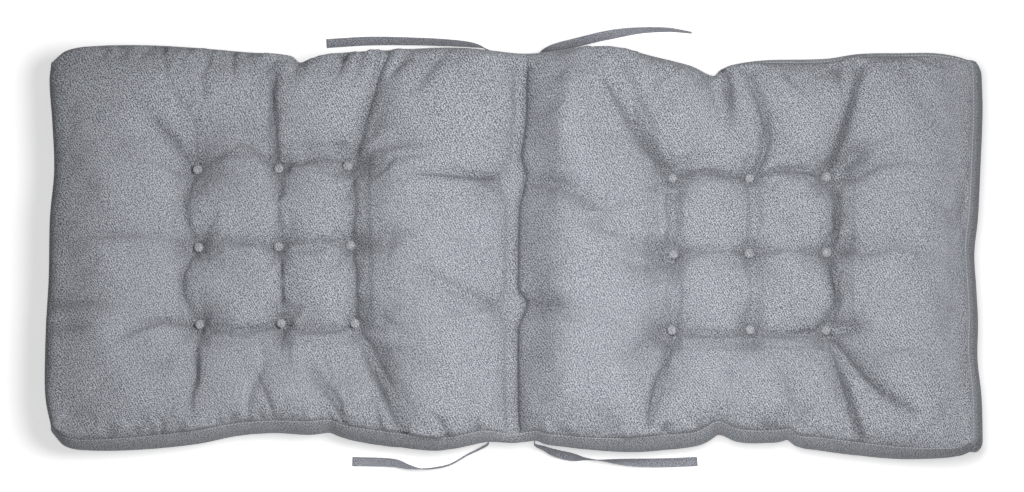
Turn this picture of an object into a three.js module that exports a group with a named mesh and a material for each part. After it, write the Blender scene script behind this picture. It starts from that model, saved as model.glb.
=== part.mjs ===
// A sun lounger cushion: two button-tufted halves that share one cover, sewn through across the middle
// as a hinge, with a boxed side band and four flat ties at the ends of the hinge.
// Millimetres, +X along the length, +Y away from the front edge, +Z up. It lies on its back at z = 0.
import * as THREE from 'three';
import { mergeVertices } from 'three/addons/utils/BufferGeometryUtils.js';

// Driving dimensions
const LENGTH = 1200;
const WIDTH = 500;
const CROWN_HEIGHT = 106;        // where a wide cell would be filled right up
const SEAM_HEIGHT = 67;          // where the top panel meets the side band
const LOWER_SEAM_HEIGHT = 9;     // where the side band meets the underside panel
const TUFT_HEIGHT = 46;          // the cover's lowest point at a pulled-down button
const HINGE_HEIGHT = 58;         // the bottom of the hinge channel
const HINGE_SEAM_HEIGHT = 52;    // the top seam at the hinge's ends
const HINGE_LOWER_SEAM_HEIGHT = 20;
const HINGE_FLOOR = 8;           // the stitched strip along the channel
const HINGE_REACH = 46;          // how far beside the hinge the seams dip towards it
const ROUNDNESS = 0.75;          // 1 for a tent between the held-down lines, lower for a fuller pillow
const SOFT_REACH = 52;           // how far a pulled-down point draws the filling with it
const EDGE_ZONE = 110;           // the border in which the outline's waves fade out
const END_ZONE = 60;             // the same at the short ends
const SEWN_STIFFNESS = 4000;     // how firmly thread holds the cover, against the cover's own pull of 1
const FOLD_STIFFNESS = 0.7;
const RELAX_CELL = 4;
const RELAX_PASSES = 320;
const RELAX_OVERSHOOT = 1.85;
const BAND_ROWS = 3;
const UNDERSIDE_INSET = 13;      // from the lower seam to where the cushion rests flat
const TUFT_SEAT = 8.5;           // how far round its thread a tuft is flat
const UNDER_DIMPLE = { radius: 11, depth: 6, sides: 8 };
const UNDER_GROOVE = { halfWidth: 12, depth: 9 };
const BUTTON = { radius: 6.2, rimHeight: 1.2, height: 4.4, sides: 10 };
const TIE = { width: 12, thickness: 1.4 };
const TIE_STUB = 6;              // how far a tie stands straight out of the seam
const TIE_LIFT = 0.2;            // a tie's lowest edge above the surface
const CLEARANCE = 0.3;
const SEAT_RINGS = 4;            // a button's seat is felt out in rings, at so many places round each
const SEAT_TURNS = 20;

// The hinge seam wanders a little across the width from its place on the pattern.
const HINGE_X = -4;
const HINGE_WANDER = [
  { y: -250, by: 1 }, { y: -65, by: 0 }, { y: 95, by: 0 }, { y: 170, by: 5 }, { y: 250, by: 12 },
];
const WANDER_REACH = 120;

// Where each tuft is pulled down, by half, row from the far side and column from the left.
const TUFTS = [
  { half: 'left', row: 1, column: 1, x: -410, y: 106 },
  { half: 'left', row: 1, column: 2, x: -305, y: 108 },
  { half: 'left', row: 1, column: 3, x: -216, y: 111 },
  { half: 'left', row: 2, column: 1, x: -408, y: 3 },
  { half: 'left', row: 2, column: 2, x: -305, y: 4 },
  { half: 'left', row: 2, column: 3, x: -212, y: 6 },
  { half: 'left', row: 3, column: 1, x: -406, y: -99 },
  { half: 'left', row: 3, column: 2, x: -301, y: -97 },
  { half: 'left', row: 3, column: 3, x: -206, y: -98 },
  { half: 'right', row: 1, column: 1, x: 204, y: 95 },
  { half: 'right', row: 1, column: 2, x: 304, y: 95 },
  { half: 'right', row: 1, column: 3, x: 404, y: 97 },
  { half: 'right', row: 2, column: 1, x: 205, y: -6 },
  { half: 'right', row: 2, column: 2, x: 303, y: -5 },
  { half: 'right', row: 2, column: 3, x: 403, y: -4 },
  { half: 'right', row: 3, column: 1, x: 203, y: -107 },
  { half: 'right', row: 3, column: 2, x: 304, y: -106 },
  { half: 'right', row: 3, column: 3, x: 402, y: -107 },
];

// Pinches between neighbouring tufts: how hard the cover is drawn down midway, and the bow of its line.
const PINCHES = [
  { half: 'left', from: [1, 1], to: [1, 2], pull: 0.55, bow: 14 },
  { half: 'left', from: [1, 2], to: [1, 3], pull: 0.45, bow: -2 },
  { half: 'left', from: [2, 1], to: [2, 2], pull: 0.2, bow: 4 },
  { half: 'left', from: [2, 2], to: [2, 3], pull: 0.2, bow: 6 },
  { half: 'left', from: [3, 1], to: [3, 2], pull: 0.6, bow: -8 },
  { half: 'left', from: [3, 2], to: [3, 3], pull: 0.5, bow: -9 },
  { half: 'left', from: [1, 1], to: [2, 1], pull: 0.3, bow: -10 },
  { half: 'left', from: [2, 1], to: [3, 1], pull: 0.25, bow: -18 },
  { half: 'left', from: [1, 2], to: [2, 2], pull: 0.35, bow: 4 },
  { half: 'left', from: [2, 2], to: [3, 2], pull: 0.45, bow: 5 },
  { half: 'left', from: [1, 3], to: [2, 3], pull: 0.8, bow: 6 },
  { half: 'left', from: [2, 3], to: [3, 3], pull: 0.8, bow: 6 },
  { half: 'right', from: [1, 1], to: [1, 2], pull: 0.6, bow: 1 },
  { half: 'right', from: [1, 2], to: [1, 3], pull: 0.6, bow: 4 },
  { half: 'right', from: [2, 1], to: [2, 2], pull: 0.25, bow: 2 },
  { half: 'right', from: [2, 2], to: [2, 3], pull: 0.2, bow: 3 },
  { half: 'right', from: [3, 1], to: [3, 2], pull: 0.6, bow: -4 },
  { half: 'right', from: [3, 2], to: [3, 3], pull: 0.6, bow: -3 },
  { half: 'right', from: [1, 1], to: [2, 1], pull: 0.3, bow: 0 },
  { half: 'right', from: [2, 1], to: [3, 1], pull: 0.3, bow: 0 },
  { half: 'right', from: [1, 2], to: [2, 2], pull: 0.3, bow: 5 },
  { half: 'right', from: [2, 2], to: [3, 2], pull: 0.3, bow: 5 },
  { half: 'right', from: [1, 3], to: [2, 3], pull: 0.9, bow: 9 },
  { half: 'right', from: [2, 3], to: [3, 3], pull: 0.9, bow: 9 },
];

// The main folds that run from a tuft towards the seams. Bearings are in degrees from +X, and a fold
// starts that far from its tuft, bows sideways at its middle, and pulls less towards its free end.
const FOLDS = [
  { half: 'left', tuft: [1, 1], bearing: 90, start: 0, length: 72, bow: -5, pull: 0.9, end: 0.1 },
  { half: 'left', tuft: [1, 1], bearing: 132, start: 0, length: 120, bow: 0, pull: 0.7, end: 0.1 },
  { half: 'left', tuft: [1, 2], bearing: 89, start: 0, length: 138, bow: 3, pull: 0.9, end: 0.8 },
  { half: 'left', tuft: [1, 3], bearing: 71, start: 0, length: 132, bow: -3, pull: 0.7, end: 0.7 },
  { half: 'left', tuft: [1, 3], bearing: 60, start: 20, length: 150, bow: 6, pull: 0.8, end: 0.4 },
  { half: 'left', tuft: [3, 1], bearing: 262, start: 0, length: 132, bow: 3, pull: 0.8, end: 0.5 },
  { half: 'left', tuft: [3, 1], bearing: 195, start: 0, length: 105, bow: -11, pull: 0.5, end: 0.05 },
  { half: 'left', tuft: [3, 2], bearing: 301, start: 70, length: 148, bow: 0, pull: 0.7, end: 0.7 },
  { half: 'left', tuft: [3, 3], bearing: 292, start: 0, length: 158, bow: 4, pull: 0.9, end: 0.8 },
  { half: 'right', tuft: [1, 1], bearing: 124, start: 0, length: 148, bow: 9, pull: 0.6, end: 0.1 },
  { half: 'right', tuft: [1, 1], bearing: 117, start: 0, length: 100, bow: 4, pull: 0.9, end: 0.2 },
  { half: 'right', tuft: [1, 2], bearing: 90, start: 0, length: 130, bow: -20, pull: 0.4, end: 0.3 },
  { half: 'right', tuft: [1, 3], bearing: 70, start: 0, length: 142, bow: -2, pull: 0.9, end: 0.5 },
  { half: 'right', tuft: [3, 1], bearing: 257, start: 0, length: 128, bow: 3, pull: 0.9, end: 0.8 },
  { half: 'right', tuft: [3, 3], bearing: 314, start: 0, length: 158, bow: 0, pull: 0.9, end: 0.2 },
  { half: 'right', tuft: [3, 3], bearing: 287, start: 25, length: 146, bow: 0, pull: 0.7, end: 0.8 },
];

// The long edges in plan: how far the top seam lies outside (+) or inside (-) a straight edge, and there
// how far the far band's middle bulges, or the near band's lower seam leans out.
const FAR_EDGE = [
  { x: -600, out: -4, bulge: 3 }, { x: -580, out: 12, bulge: 3 }, { x: -540, out: 18, bulge: 3 },
  { x: -480, out: 19, bulge: 3 }, { x: -420, out: 16, bulge: 3 }, { x: -350, out: 10, bulge: 3 },
  { x: -305, out: 7, bulge: 3 }, { x: -289, out: 4, bulge: 3 }, { x: -278, out: -4, bulge: 3 },
  { x: -262, out: 2, bulge: 3 }, { x: -238, out: 8, bulge: 3 }, { x: -150, out: 13, bulge: 3 },
  { x: -85, out: 16, bulge: 3 }, { x: -35, out: 12, bulge: 3 }, { x: 5, out: 10, bulge: 3 },
  { x: 40, out: 11, bulge: 3 }, { x: 90, out: 17, bulge: 3 }, { x: 135, out: 15, bulge: 3 },
  { x: 180, out: 4, bulge: 3 }, { x: 225, out: -8, bulge: 3 }, { x: 258, out: -22, bulge: 3 },
  { x: 267, out: -13, bulge: 4 }, { x: 290, out: -7, bulge: 6 }, { x: 330, out: -5, bulge: 10 },
  { x: 400, out: -4, bulge: 10 }, { x: 450, out: 3, bulge: 10 }, { x: 530, out: 3, bulge: 10 },
  { x: 575, out: -1, bulge: 9 }, { x: 600, out: -7, bulge: 8 },
];
const NEAR_EDGE = [
  { x: -600, out: -12, lean: -6 }, { x: -582, out: 3, lean: -5 }, { x: -545, out: 6, lean: -2 },
  { x: -480, out: 2, lean: 2 }, { x: -410, out: -6, lean: 3 }, { x: -360, out: -15, lean: 1 },
  { x: -310, out: -19, lean: 1 }, { x: -265, out: -18, lean: 3 }, { x: -238, out: -20, lean: 3 },
  { x: -220, out: -13, lean: 3 }, { x: -170, out: -5, lean: 5 }, { x: -115, out: 3, lean: 2 },
  { x: -80, out: 5, lean: 0 }, { x: -45, out: -4, lean: 0 }, { x: -5, out: -9, lean: 0 },
  { x: 30, out: -2, lean: -2 }, { x: 90, out: 3, lean: 0 }, { x: 145, out: 4, lean: 4 },
  { x: 190, out: 0, lean: 6 }, { x: 235, out: -5, lean: 4 }, { x: 261, out: -18, lean: 3 },
  { x: 288, out: -8, lean: 3 }, { x: 335, out: -6, lean: 2 }, { x: 353, out: -8, lean: 0 },
  { x: 364, out: 0, lean: 0 }, { x: 390, out: 3, lean: 2 }, { x: 430, out: 8, lean: 3 },
  { x: 490, out: 15, lean: 1 }, { x: 545, out: 19, lean: -5 }, { x: 580, out: 17, lean: -9 },
  { x: 600, out: 8, lean: -9 },
];

// The two short ends in plan, in the same way.
const LEFT_END = [
  { y: -250, out: -5 }, { y: -215, out: 2 }, { y: -187, out: 4 }, { y: -147, out: 4 },
  { y: -100, out: 3 }, { y: -40, out: 0 }, { y: 40, out: -1 }, { y: 103, out: -6 },
  { y: 170, out: -3 }, { y: 225, out: 1 }, { y: 250, out: -1 },
];
const RIGHT_END = [
  { y: -250, out: -12 }, { y: -190, out: -13 }, { y: -140, out: -18 }, { y: -90, out: -17 },
  { y: -45, out: -19 }, { y: 0, out: -21 }, { y: 45, out: -16 }, { y: 100, out: -13 },
  { y: 190, out: -9 }, { y: 250, out: -10 },
];

// The side band where its edge's table doesn't say how far its middle bulges or its lower seam leans out.
const FAR_BAND_LEAN = -4;
const NEAR_BAND_BULGE = 3;
const LEFT_BAND = { bulge: 3, lean: -6 };
const RIGHT_BAND = { bulge: 8, lean: 8 };

// The ties, from where each is sewn into an end of the hinge seam, on its edge, to the free end.
// Roll turns the tape about its own line, in degrees.
const TIES = [
  {
    name: 'tie_far_left',
    root: { x: 4, z: 27, outward: 1 },
    route: [
      { x: -14, y: 271, z: 22, roll: 75 }, { x: -45, y: 279, z: 14, roll: 50 },
      { x: -85, y: 284, z: 9, roll: 35 }, { x: -135, y: 288, z: 5, roll: 20 },
      { x: -190, y: 289, z: 2, roll: 6 }, { x: -244, y: 286, z: 1, roll: 0 },
    ],
  },
  {
    name: 'tie_far_right',
    root: { x: 14, z: 26, outward: 1 },
    route: [
      { x: 40, y: 272, z: 17, roll: 45 }, { x: 75, y: 284, z: 9, roll: 10 },
      { x: 115, y: 295, z: 5, roll: 15 }, { x: 160, y: 302, z: 5, roll: 60 },
      { x: 200, y: 303, z: 6, roll: 80 }, { x: 230, y: 299, z: 7, roll: 98 },
    ],
  },
  {
    name: 'tie_near_left',
    root: { x: -9, z: 28, outward: -1 },
    route: [
      { x: -40, y: -253, z: 24, roll: 88 }, { x: -60, y: -262, z: 14, roll: 84 },
      { x: -82, y: -274, z: 8, roll: 84 }, { x: -102, y: -279, z: 8, roll: 84 },
      { x: -120, y: -280, z: 7, roll: 78 }, { x: -137, y: -277, z: 5, roll: 50 },
      { x: -158, y: -271, z: 2, roll: 15 }, { x: -209, y: -269, z: 1, roll: 0 },
    ],
  },
  {
    name: 'tie_near_right',
    root: { x: 5, z: 27, outward: -1 },
    route: [
      { x: 28, y: -254, z: 22, roll: 80 }, { x: 46, y: -259, z: 13, roll: 50 },
      { x: 71, y: -264, z: 8, roll: 40 }, { x: 92, y: -267, z: 8, roll: 90 },
      { x: 110, y: -269, z: 8, roll: 105 }, { x: 150, y: -271, z: 4, roll: 155 },
      { x: 190, y: -271, z: 2, roll: 175 }, { x: 236, y: -269, z: 1, roll: 180 },
    ],
  },
];

// Cover fabric: grey-blue melange twill. Buttons are paler, ties a little darker.
const FABRIC_LOOK = { color: 0x93979e, roughness: 0.92, metalness: 0 };
const BUTTON_LOOK = { color: 0xb4b8be, roughness: 0.85, metalness: 0 };
const TIE_LOOK = { color: 0x8c8e98, roughness: 0.9, metalness: 0 };

const { lerp, smoothstep, degToRad, clamp } = THREE.MathUtils;

/** A smooth curve through a table's rows, whatever their spacing. */
function alongTable(rows, key, value, at) {
  const next = rows.findIndex((row) => row[key] > at);
  if (next === 0) return rows[0][value];
  if (next < 0) return rows[rows.length - 1][value];
  const before = rows[next - 1];
  const after = rows[next];
  const slopeAt = (index) => {
    const low = rows[Math.max(index - 1, 0)];
    const high = rows[Math.min(index + 1, rows.length - 1)];
    return (high[value] - low[value]) / (high[key] - low[key]);
  };
  const span = after[key] - before[key];
  const t = (at - before[key]) / span;
  const rise = after[value] - before[value];
  const startSlope = slopeAt(next - 1) * span;
  const endSlope = slopeAt(next) * span;
  const bend = (1 - t) * (startSlope - rise) - t * (endSlope - rise);
  return before[value] + rise * t + t * (1 - t) * bend;
}

/** Stations from one key line to the next, closer together at both key lines. */
function gradedStations(from, to, cells, closeness) {
  const stations = [];
  for (let i = 0; i < cells; i += 1) {
    const t = i / cells;
    stations.push(lerp(from, to, t - (closeness * Math.sin(2 * Math.PI * t)) / (2 * Math.PI)));
  }
  return stations;
}

function stationsThrough(keyLines) {
  const stations = [];
  for (let i = 0; i + 1 < keyLines.length; i += 1) {
    const { at, cells } = keyLines[i];
    stations.push(...gradedStations(at, keyLines[i + 1].at, cells, 0.35));
  }
  stations.push(keyLines[keyLines.length - 1].at);
  return stations;
}

const HALF_LENGTH = LENGTH / 2;
const HALF_WIDTH = WIDTH / 2;

function tuftAt(half, [row, column]) {
  return TUFTS.find((tuft) => tuft.half === half && tuft.row === row && tuft.column === column);
}

/** Points every few millimetres along a bowed line, with the pull fading from one end to the other. */
function bowedLine(start, end, bow, pullAt) {
  const along = new THREE.Vector2(end.x - start.x, end.y - start.y);
  const length = along.length();
  const steps = Math.ceil(length / 3);
  const points = [];
  for (let i = 0; i <= steps; i += 1) {
    const t = i / steps;
    const side = 4 * bow * t * (1 - t);
    points.push({
      x: start.x + along.x * t - (along.y / length) * side,
      y: start.y + along.y * t + (along.x / length) * side,
      pull: pullAt(t),
    });
  }
  return points;
}

function pinchPoints({ half, from, to, pull, bow }) {
  const harderNearTufts = (t) => lerp(1, pull, Math.sin(Math.PI * t));
  return bowedLine(tuftAt(half, from), tuftAt(half, to), bow, harderNearTufts);
}

function foldPoints({ half, tuft, bearing, start, length, bow, pull, end }) {
  const origin = tuftAt(half, tuft);
  const angle = degToRad(bearing);
  const reach = (distance) => ({
    x: origin.x + distance * Math.cos(angle),
    y: origin.y + distance * Math.sin(angle),
  });
  return bowedLine(reach(start), reach(length), bow, (t) => lerp(pull, end, t));
}

/**
 * How full the cushion is over its plan, from 0 where the cover is held down to 1 where it is free.
 * The cover is a stretched skin over springy filling: it is relaxed on a grid until every point
 * balances its neighbours, the filling's push, and the pull of the threads.
 */
function relaxFullness() {
  const cell = RELAX_CELL;
  const columns = LENGTH / cell;
  const rows = WIDTH / cell;
  const index = (i, j) => j * (columns + 1) + i;
  const full = new Float64Array((columns + 1) * (rows + 1)).fill(0.5);
  const held = new Float64Array(full.length);
  const push = (cell / SOFT_REACH) ** 2;

  const hold = (x, y, stiffness) => {
    const i = clamp(Math.round((x + HALF_LENGTH) / cell), 1, columns - 1);
    const j = clamp(Math.round((y + HALF_WIDTH) / cell), 1, rows - 1);
    held[index(i, j)] = Math.max(held[index(i, j)], stiffness);
  };
  TUFTS.forEach(({ x, y }) => {
    for (let dy = -TUFT_SEAT; dy <= TUFT_SEAT; dy += cell / 4) {
      const halfChord = Math.sqrt(TUFT_SEAT ** 2 - dy ** 2);
      for (let dx = -halfChord; dx <= halfChord; dx += cell / 4) hold(x + dx, y + dy, SEWN_STIFFNESS);
    }
  });
  [...PINCHES.map(pinchPoints), ...FOLDS.map(foldPoints)].flat()
    .forEach(({ x, y, pull }) => hold(x, y, FOLD_STIFFNESS * pull ** 2));
  for (let y = -HALF_WIDTH; y <= HALF_WIDTH; y += cell) {
    for (let x = -HINGE_FLOOR / 2; x <= HINGE_FLOOR / 2; x += cell) hold(HINGE_X + x, y, SEWN_STIFFNESS);
  }
  for (let i = 0; i <= columns; i += 1) [0, rows].forEach((j) => { full[index(i, j)] = 0; });
  for (let j = 0; j <= rows; j += 1) [0, columns].forEach((i) => { full[index(i, j)] = 0; });

  for (let pass = 0; pass < RELAX_PASSES; pass += 1) {
    for (let j = 1; j < rows; j += 1) {
      for (let i = 1; i < columns; i += 1) {
        const at = index(i, j);
        const around = full[at - 1] + full[at + 1] + full[at - columns - 1] + full[at + columns + 1];
        const balanced = (around + push) / (4 + push + held[at]);
        full[at] += RELAX_OVERSHOOT * (balanced - full[at]);
      }
    }
  }

  return (x, y) => {
    const gx = clamp((x + HALF_LENGTH) / cell, 0, columns - 0.001);
    const gy = clamp((y + HALF_WIDTH) / cell, 0, rows - 0.001);
    const i = Math.floor(gx);
    const j = Math.floor(gy);
    const near = lerp(full[index(i, j)], full[index(i + 1, j)], gx - i);
    const far = lerp(full[index(i, j + 1)], full[index(i + 1, j + 1)], gx - i);
    return lerp(near, far, gy - j);
  };
}

/** How close a place on the pattern is to the hinge, 1 on its floor and 0 out of its reach. */
function nearHinge(u) {
  return 1 - smoothstep(Math.abs(u - HINGE_X), HINGE_FLOOR / 2, HINGE_REACH);
}

/** The plan place of pattern point (u, v): the outline's waves move it near the edges only. */
function planPoint(u, v) {
  const longEdge = v > 0 ? FAR_EDGE : NEAR_EDGE;
  const shortEnd = u > 0 ? RIGHT_END : LEFT_END;
  const edgeShare = smoothstep(Math.abs(v), HALF_WIDTH - EDGE_ZONE, HALF_WIDTH);
  const endShare = smoothstep(Math.abs(u), HALF_LENGTH - END_ZONE, HALF_LENGTH);
  const wanderShare = 1 - smoothstep(Math.abs(u - HINGE_X), UNDER_GROOVE.halfWidth, WANDER_REACH);
  const wander = wanderShare * alongTable(HINGE_WANDER, 'y', 'by', v);
  return new THREE.Vector2(
    u + wander + endShare * Math.sign(u) * alongTable(shortEnd, 'y', 'out', v),
    v + edgeShare * Math.sign(v) * alongTable(longEdge, 'x', 'out', u),
  );
}

/** The cover's height over its plan, rounded like a pillow between the lines that hold it down. */
function topPoint(fullness, u, v) {
  const plan = planPoint(u, v);
  const full = clamp(fullness(u, v), 0, 1);
  const rounded = full ** ROUNDNESS;
  const toEdge = Math.min(HALF_LENGTH - Math.abs(u), HALF_WIDTH - Math.abs(v));
  const inside = smoothstep(toEdge, 0, EDGE_ZONE);
  const atSeam = lerp(SEAM_HEIGHT, HINGE_SEAM_HEIGHT, nearHinge(u));
  const tiedDown = lerp(atSeam, lerp(TUFT_HEIGHT, HINGE_HEIGHT, nearHinge(u)), inside);
  return new THREE.Vector3(plan.x, plan.y, lerp(tiedDown, CROWN_HEIGHT, rounded));
}

/** Pattern points in rows, with columns along the hinge and a point at each tuft. */
function patternGrid() {
  const halfStrip = HINGE_FLOOR / 2;
  const groove = UNDER_GROOVE.halfWidth;
  const acrossU = stationsThrough([
    { at: -HALF_LENGTH, cells: 11 }, { at: -408, cells: 7 }, { at: -304, cells: 6 }, { at: -211, cells: 11 },
    { at: HINGE_X - groove, cells: 1 }, { at: HINGE_X - halfStrip, cells: 1 },
    { at: HINGE_X + halfStrip, cells: 1 }, { at: HINGE_X + groove, cells: 11 },
    { at: 204, cells: 7 }, { at: 304, cells: 7 }, { at: 403, cells: 11 }, { at: HALF_LENGTH },
  ]);
  const acrossV = stationsThrough([
    { at: -HALF_WIDTH, cells: 10 }, { at: -102, cells: 7 }, { at: 0, cells: 7 }, { at: 102, cells: 10 },
    { at: HALF_WIDTH },
  ]);
  const grid = acrossV.map((v) => acrossU.map((u) => new THREE.Vector2(u, v)));
  TUFTS.forEach((tuft) => snapGrid(grid, tuft));
  return grid;
}

/** Draws the grid point nearest to a tuft onto it, and the points round that one onto the tuft's seat. */
function snapGrid(grid, { x, y }) {
  const target = new THREE.Vector2(x, y);
  const points = grid.flat();
  const nearest = points.reduce((a, b) => (a.distanceTo(target) < b.distanceTo(target) ? a : b));
  const row = grid.findIndex((candidates) => candidates.includes(nearest));
  const column = grid[row].indexOf(nearest);
  const from = nearest.clone();
  points.forEach((point) => {
    const share = Math.exp(-((point.distanceTo(from) / 30) ** 2));
    point.addScaledVector(target.clone().sub(from), share);
  });
  for (let down = -1; down <= 1; down += 1) {
    for (let along = -1; along <= 1; along += 1) {
      const outward = new THREE.Vector2(along, down).setLength(TUFT_SEAT);
      grid[row + down][column + along].copy(target).add(outward);
    }
  }
}

/** Collects triangles by corner points and merges equal corners into one closed body. */
class Skin {
  constructor() {
    this.corners = [];
  }

  triangle(a, b, c) {
    [a, b, c].forEach((p) => this.corners.push(p.x, p.y, p.z));
  }

  quad(a, b, c, d) {
    this.triangle(a, b, c);
    this.triangle(a, c, d);
  }

  /** A quad split along whichever diagonal lies nearer to the true middle height. */
  fittedQuad(a, b, c, d, middleHeight) {
    const missAC = Math.abs((a.z + c.z) / 2 - middleHeight);
    const missBD = Math.abs((b.z + d.z) / 2 - middleHeight);
    if (missAC <= missBD) {
      this.quad(a, b, c, d);
    } else {
      this.quad(b, c, d, a);
    }
  }

  geometry() {
    const geometry = new THREE.BufferGeometry();
    geometry.setAttribute('position', new THREE.Float32BufferAttribute(this.corners, 3));
    const merged = mergeVertices(geometry, 0.001);
    merged.computeVertexNormals();
    return merged;
  }
}

/** The border of a grid as one ring, counterclockwise from its near left corner. */
function borderRing(grid) {
  const lastRow = grid.length - 1;
  const lastColumn = grid[0].length - 1;
  const near = grid[0].slice(0, lastColumn);
  const right = grid.slice(0, lastRow).map((row) => row[lastColumn]);
  const far = grid[lastRow].slice(1).reverse();
  const left = grid.slice(1).map((row) => row[0]).reverse();
  return [...near, ...right, ...far, ...left];
}

/** Outward directions in plan for a ring of points, each square to its two neighbours. */
function outwardDirections(ring) {
  return ring.map((_, i) => {
    const before = ring[(i + ring.length - 1) % ring.length];
    const after = ring[(i + 1) % ring.length];
    return new THREE.Vector2(after.y - before.y, before.x - after.x).normalize();
  });
}

/** How the band stands at a place: its end's sizes and its long edge's, blended by which way it faces. */
function bandAt(direction, u) {
  const end = direction.x > 0 ? RIGHT_BAND : LEFT_BAND;
  const edge = direction.y > 0
    ? { bulge: alongTable(FAR_EDGE, 'x', 'bulge', u), lean: FAR_BAND_LEAN }
    : { bulge: NEAR_BAND_BULGE, lean: alongTable(NEAR_EDGE, 'x', 'lean', u) };
  const alongX = direction.x ** 2;
  return { bulge: lerp(edge.bulge, end.bulge, alongX), lean: lerp(edge.lean, end.lean, alongX) };
}

/** The rings down the side band and in under the cushion, from the top seam to the flat underside. */
function sideRings(topRing, patternRing) {
  const outward = outwardDirections(topRing);
  const stands = outward.map((direction, i) => bandAt(direction, patternRing[i].x));
  const hingeShares = patternRing.map(({ x }) => nearHinge(x));
  const ringAt = (outBy, height) => topRing.map((seam, i) => {
    const shift = outBy(stands[i]);
    return new THREE.Vector3(
      seam.x + outward[i].x * shift,
      seam.y + outward[i].y * shift,
      height(seam.z, hingeShares[i]),
    );
  });
  const rings = [topRing];
  for (let row = 1; row <= BAND_ROWS; row += 1) {
    const t = row / BAND_ROWS;
    rings.push(ringAt(
      ({ bulge, lean }) => bulge * Math.sin(Math.PI * t) + lean * t,
      (seamZ, hingeShare) => lerp(seamZ, lerp(LOWER_SEAM_HEIGHT, HINGE_LOWER_SEAM_HEIGHT, hingeShare), t),
    ));
  }
  rings.push(ringAt(
    ({ lean }) => lean - UNDERSIDE_INSET,
    (_, hingeShare) => (hingeShare > 0.99 ? UNDER_GROOVE.depth : 0),
  ));
  return rings;
}

function addWalls(skin, rings) {
  for (let row = 0; row + 1 < rings.length; row += 1) {
    const upper = rings[row];
    const lower = rings[row + 1];
    upper.forEach((_, i) => {
      const next = (i + 1) % upper.length;
      skin.quad(upper[i], lower[i], lower[next], upper[next]);
    });
  }
}

/** One half's flat rest, with a plain dimple where each tuft's thread pulls the underside in. */
function addFlatHalf(skin, outline, half) {
  const { radius, depth, sides } = UNDER_DIMPLE;
  const dimples = TUFTS.filter((tuft) => tuft.half === half).map(({ x, y }) => ({
    apex: new THREE.Vector3(x, y, depth),
    rim: Array.from({ length: sides }, (_, i) => {
      const angle = (2 * Math.PI * i) / sides;
      return new THREE.Vector3(x + radius * Math.cos(angle), y + radius * Math.sin(angle), 0);
    }),
  }));
  const flat = (points) => points.map((p) => new THREE.Vector2(p.x, p.y));
  const corners = [...outline, ...dimples.flatMap(({ rim }) => rim)];
  THREE.ShapeUtils.triangulateShape(flat(outline), dimples.map(({ rim }) => flat(rim)))
    .forEach(([a, b, c]) => skin.triangle(corners[a], corners[c], corners[b]));
  dimples.forEach(({ apex, rim }) => rim.forEach((point, i) => {
    skin.triangle(rim[(i + 1) % sides], point, apex);
  }));
}

/** The underside: two flat halves with a shallow groove between them along the hinge. */
function addUnderside(skin, ring, nearCount) {
  const raised = ring.map((p, i) => (p.z > 0 ? i : -1)).filter((i) => i >= 0);
  const near = raised.filter((i) => i < nearCount);
  const far = raised.filter((i) => i >= nearCount);
  const [nearLeft, nearRight] = [Math.min(...near) - 1, Math.max(...near) + 1];
  const [farRight, farLeft] = [Math.min(...far) - 1, Math.max(...far) + 1];
  for (let step = 0; nearLeft + step < nearRight; step += 1) {
    const [i, j] = [nearLeft + step, farLeft - step];
    skin.quad(ring[i], ring[j], ring[j - 1], ring[i + 1]);
  }
  addFlatHalf(skin, [...ring.slice(farLeft), ...ring.slice(0, nearLeft + 1)], 'left');
  addFlatHalf(skin, ring.slice(nearRight, farRight + 1), 'right');
}

function makePad() {
  const fullness = relaxFullness();
  const pattern = patternGrid();
  const top = pattern.map((row) => row.map(({ x, y }) => topPoint(fullness, x, y)));
  const skin = new Skin();
  for (let j = 0; j + 1 < top.length; j += 1) {
    for (let i = 0; i + 1 < top[0].length; i += 1) {
      const middle = pattern[j][i].clone().add(pattern[j + 1][i + 1]).multiplyScalar(0.5);
      const { z } = topPoint(fullness, middle.x, middle.y);
      skin.fittedQuad(top[j][i], top[j][i + 1], top[j + 1][i + 1], top[j + 1][i], z);
    }
  }
  const rings = sideRings(borderRing(top), borderRing(pattern));
  addWalls(skin, rings);
  addUnderside(skin, rings[rings.length - 1], top[0].length - 1);
  return namedMesh('pad', skin.geometry(), FABRIC_LOOK);
}

function namedMesh(name, geometry, look) {
  const mesh = new THREE.Mesh(geometry, new THREE.MeshStandardMaterial(look));
  mesh.name = name;
  return mesh;
}

/** Where a straight line from this place first meets the pad. */
function firstMeeting(pad, from, direction) {
  const caster = new THREE.Raycaster(from, direction);
  return caster.intersectObject(pad)[0].point;
}

/** The height of a button's lowest point at (x, y) where its hollow underside just meets the pad. */
function seatHeight(pad, x, y) {
  const down = new THREE.Vector3(0, 0, -1);
  let highest = 0;
  for (let ring = 0; ring <= SEAT_RINGS; ring += 1) {
    const outward = ring / SEAT_RINGS;
    for (let turn = 0; turn < SEAT_TURNS; turn += 1) {
      const angle = (2 * Math.PI * turn) / SEAT_TURNS;
      const reach = outward * BUTTON.radius;
      const above = new THREE.Vector3(reach * Math.cos(angle), reach * Math.sin(angle), 2 * CROWN_HEIGHT);
      above.add(new THREE.Vector3(x, y, 0));
      highest = Math.max(highest, firstMeeting(pad, above, down).z - outward * BUTTON.rimHeight);
    }
  }
  return highest;
}

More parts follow.
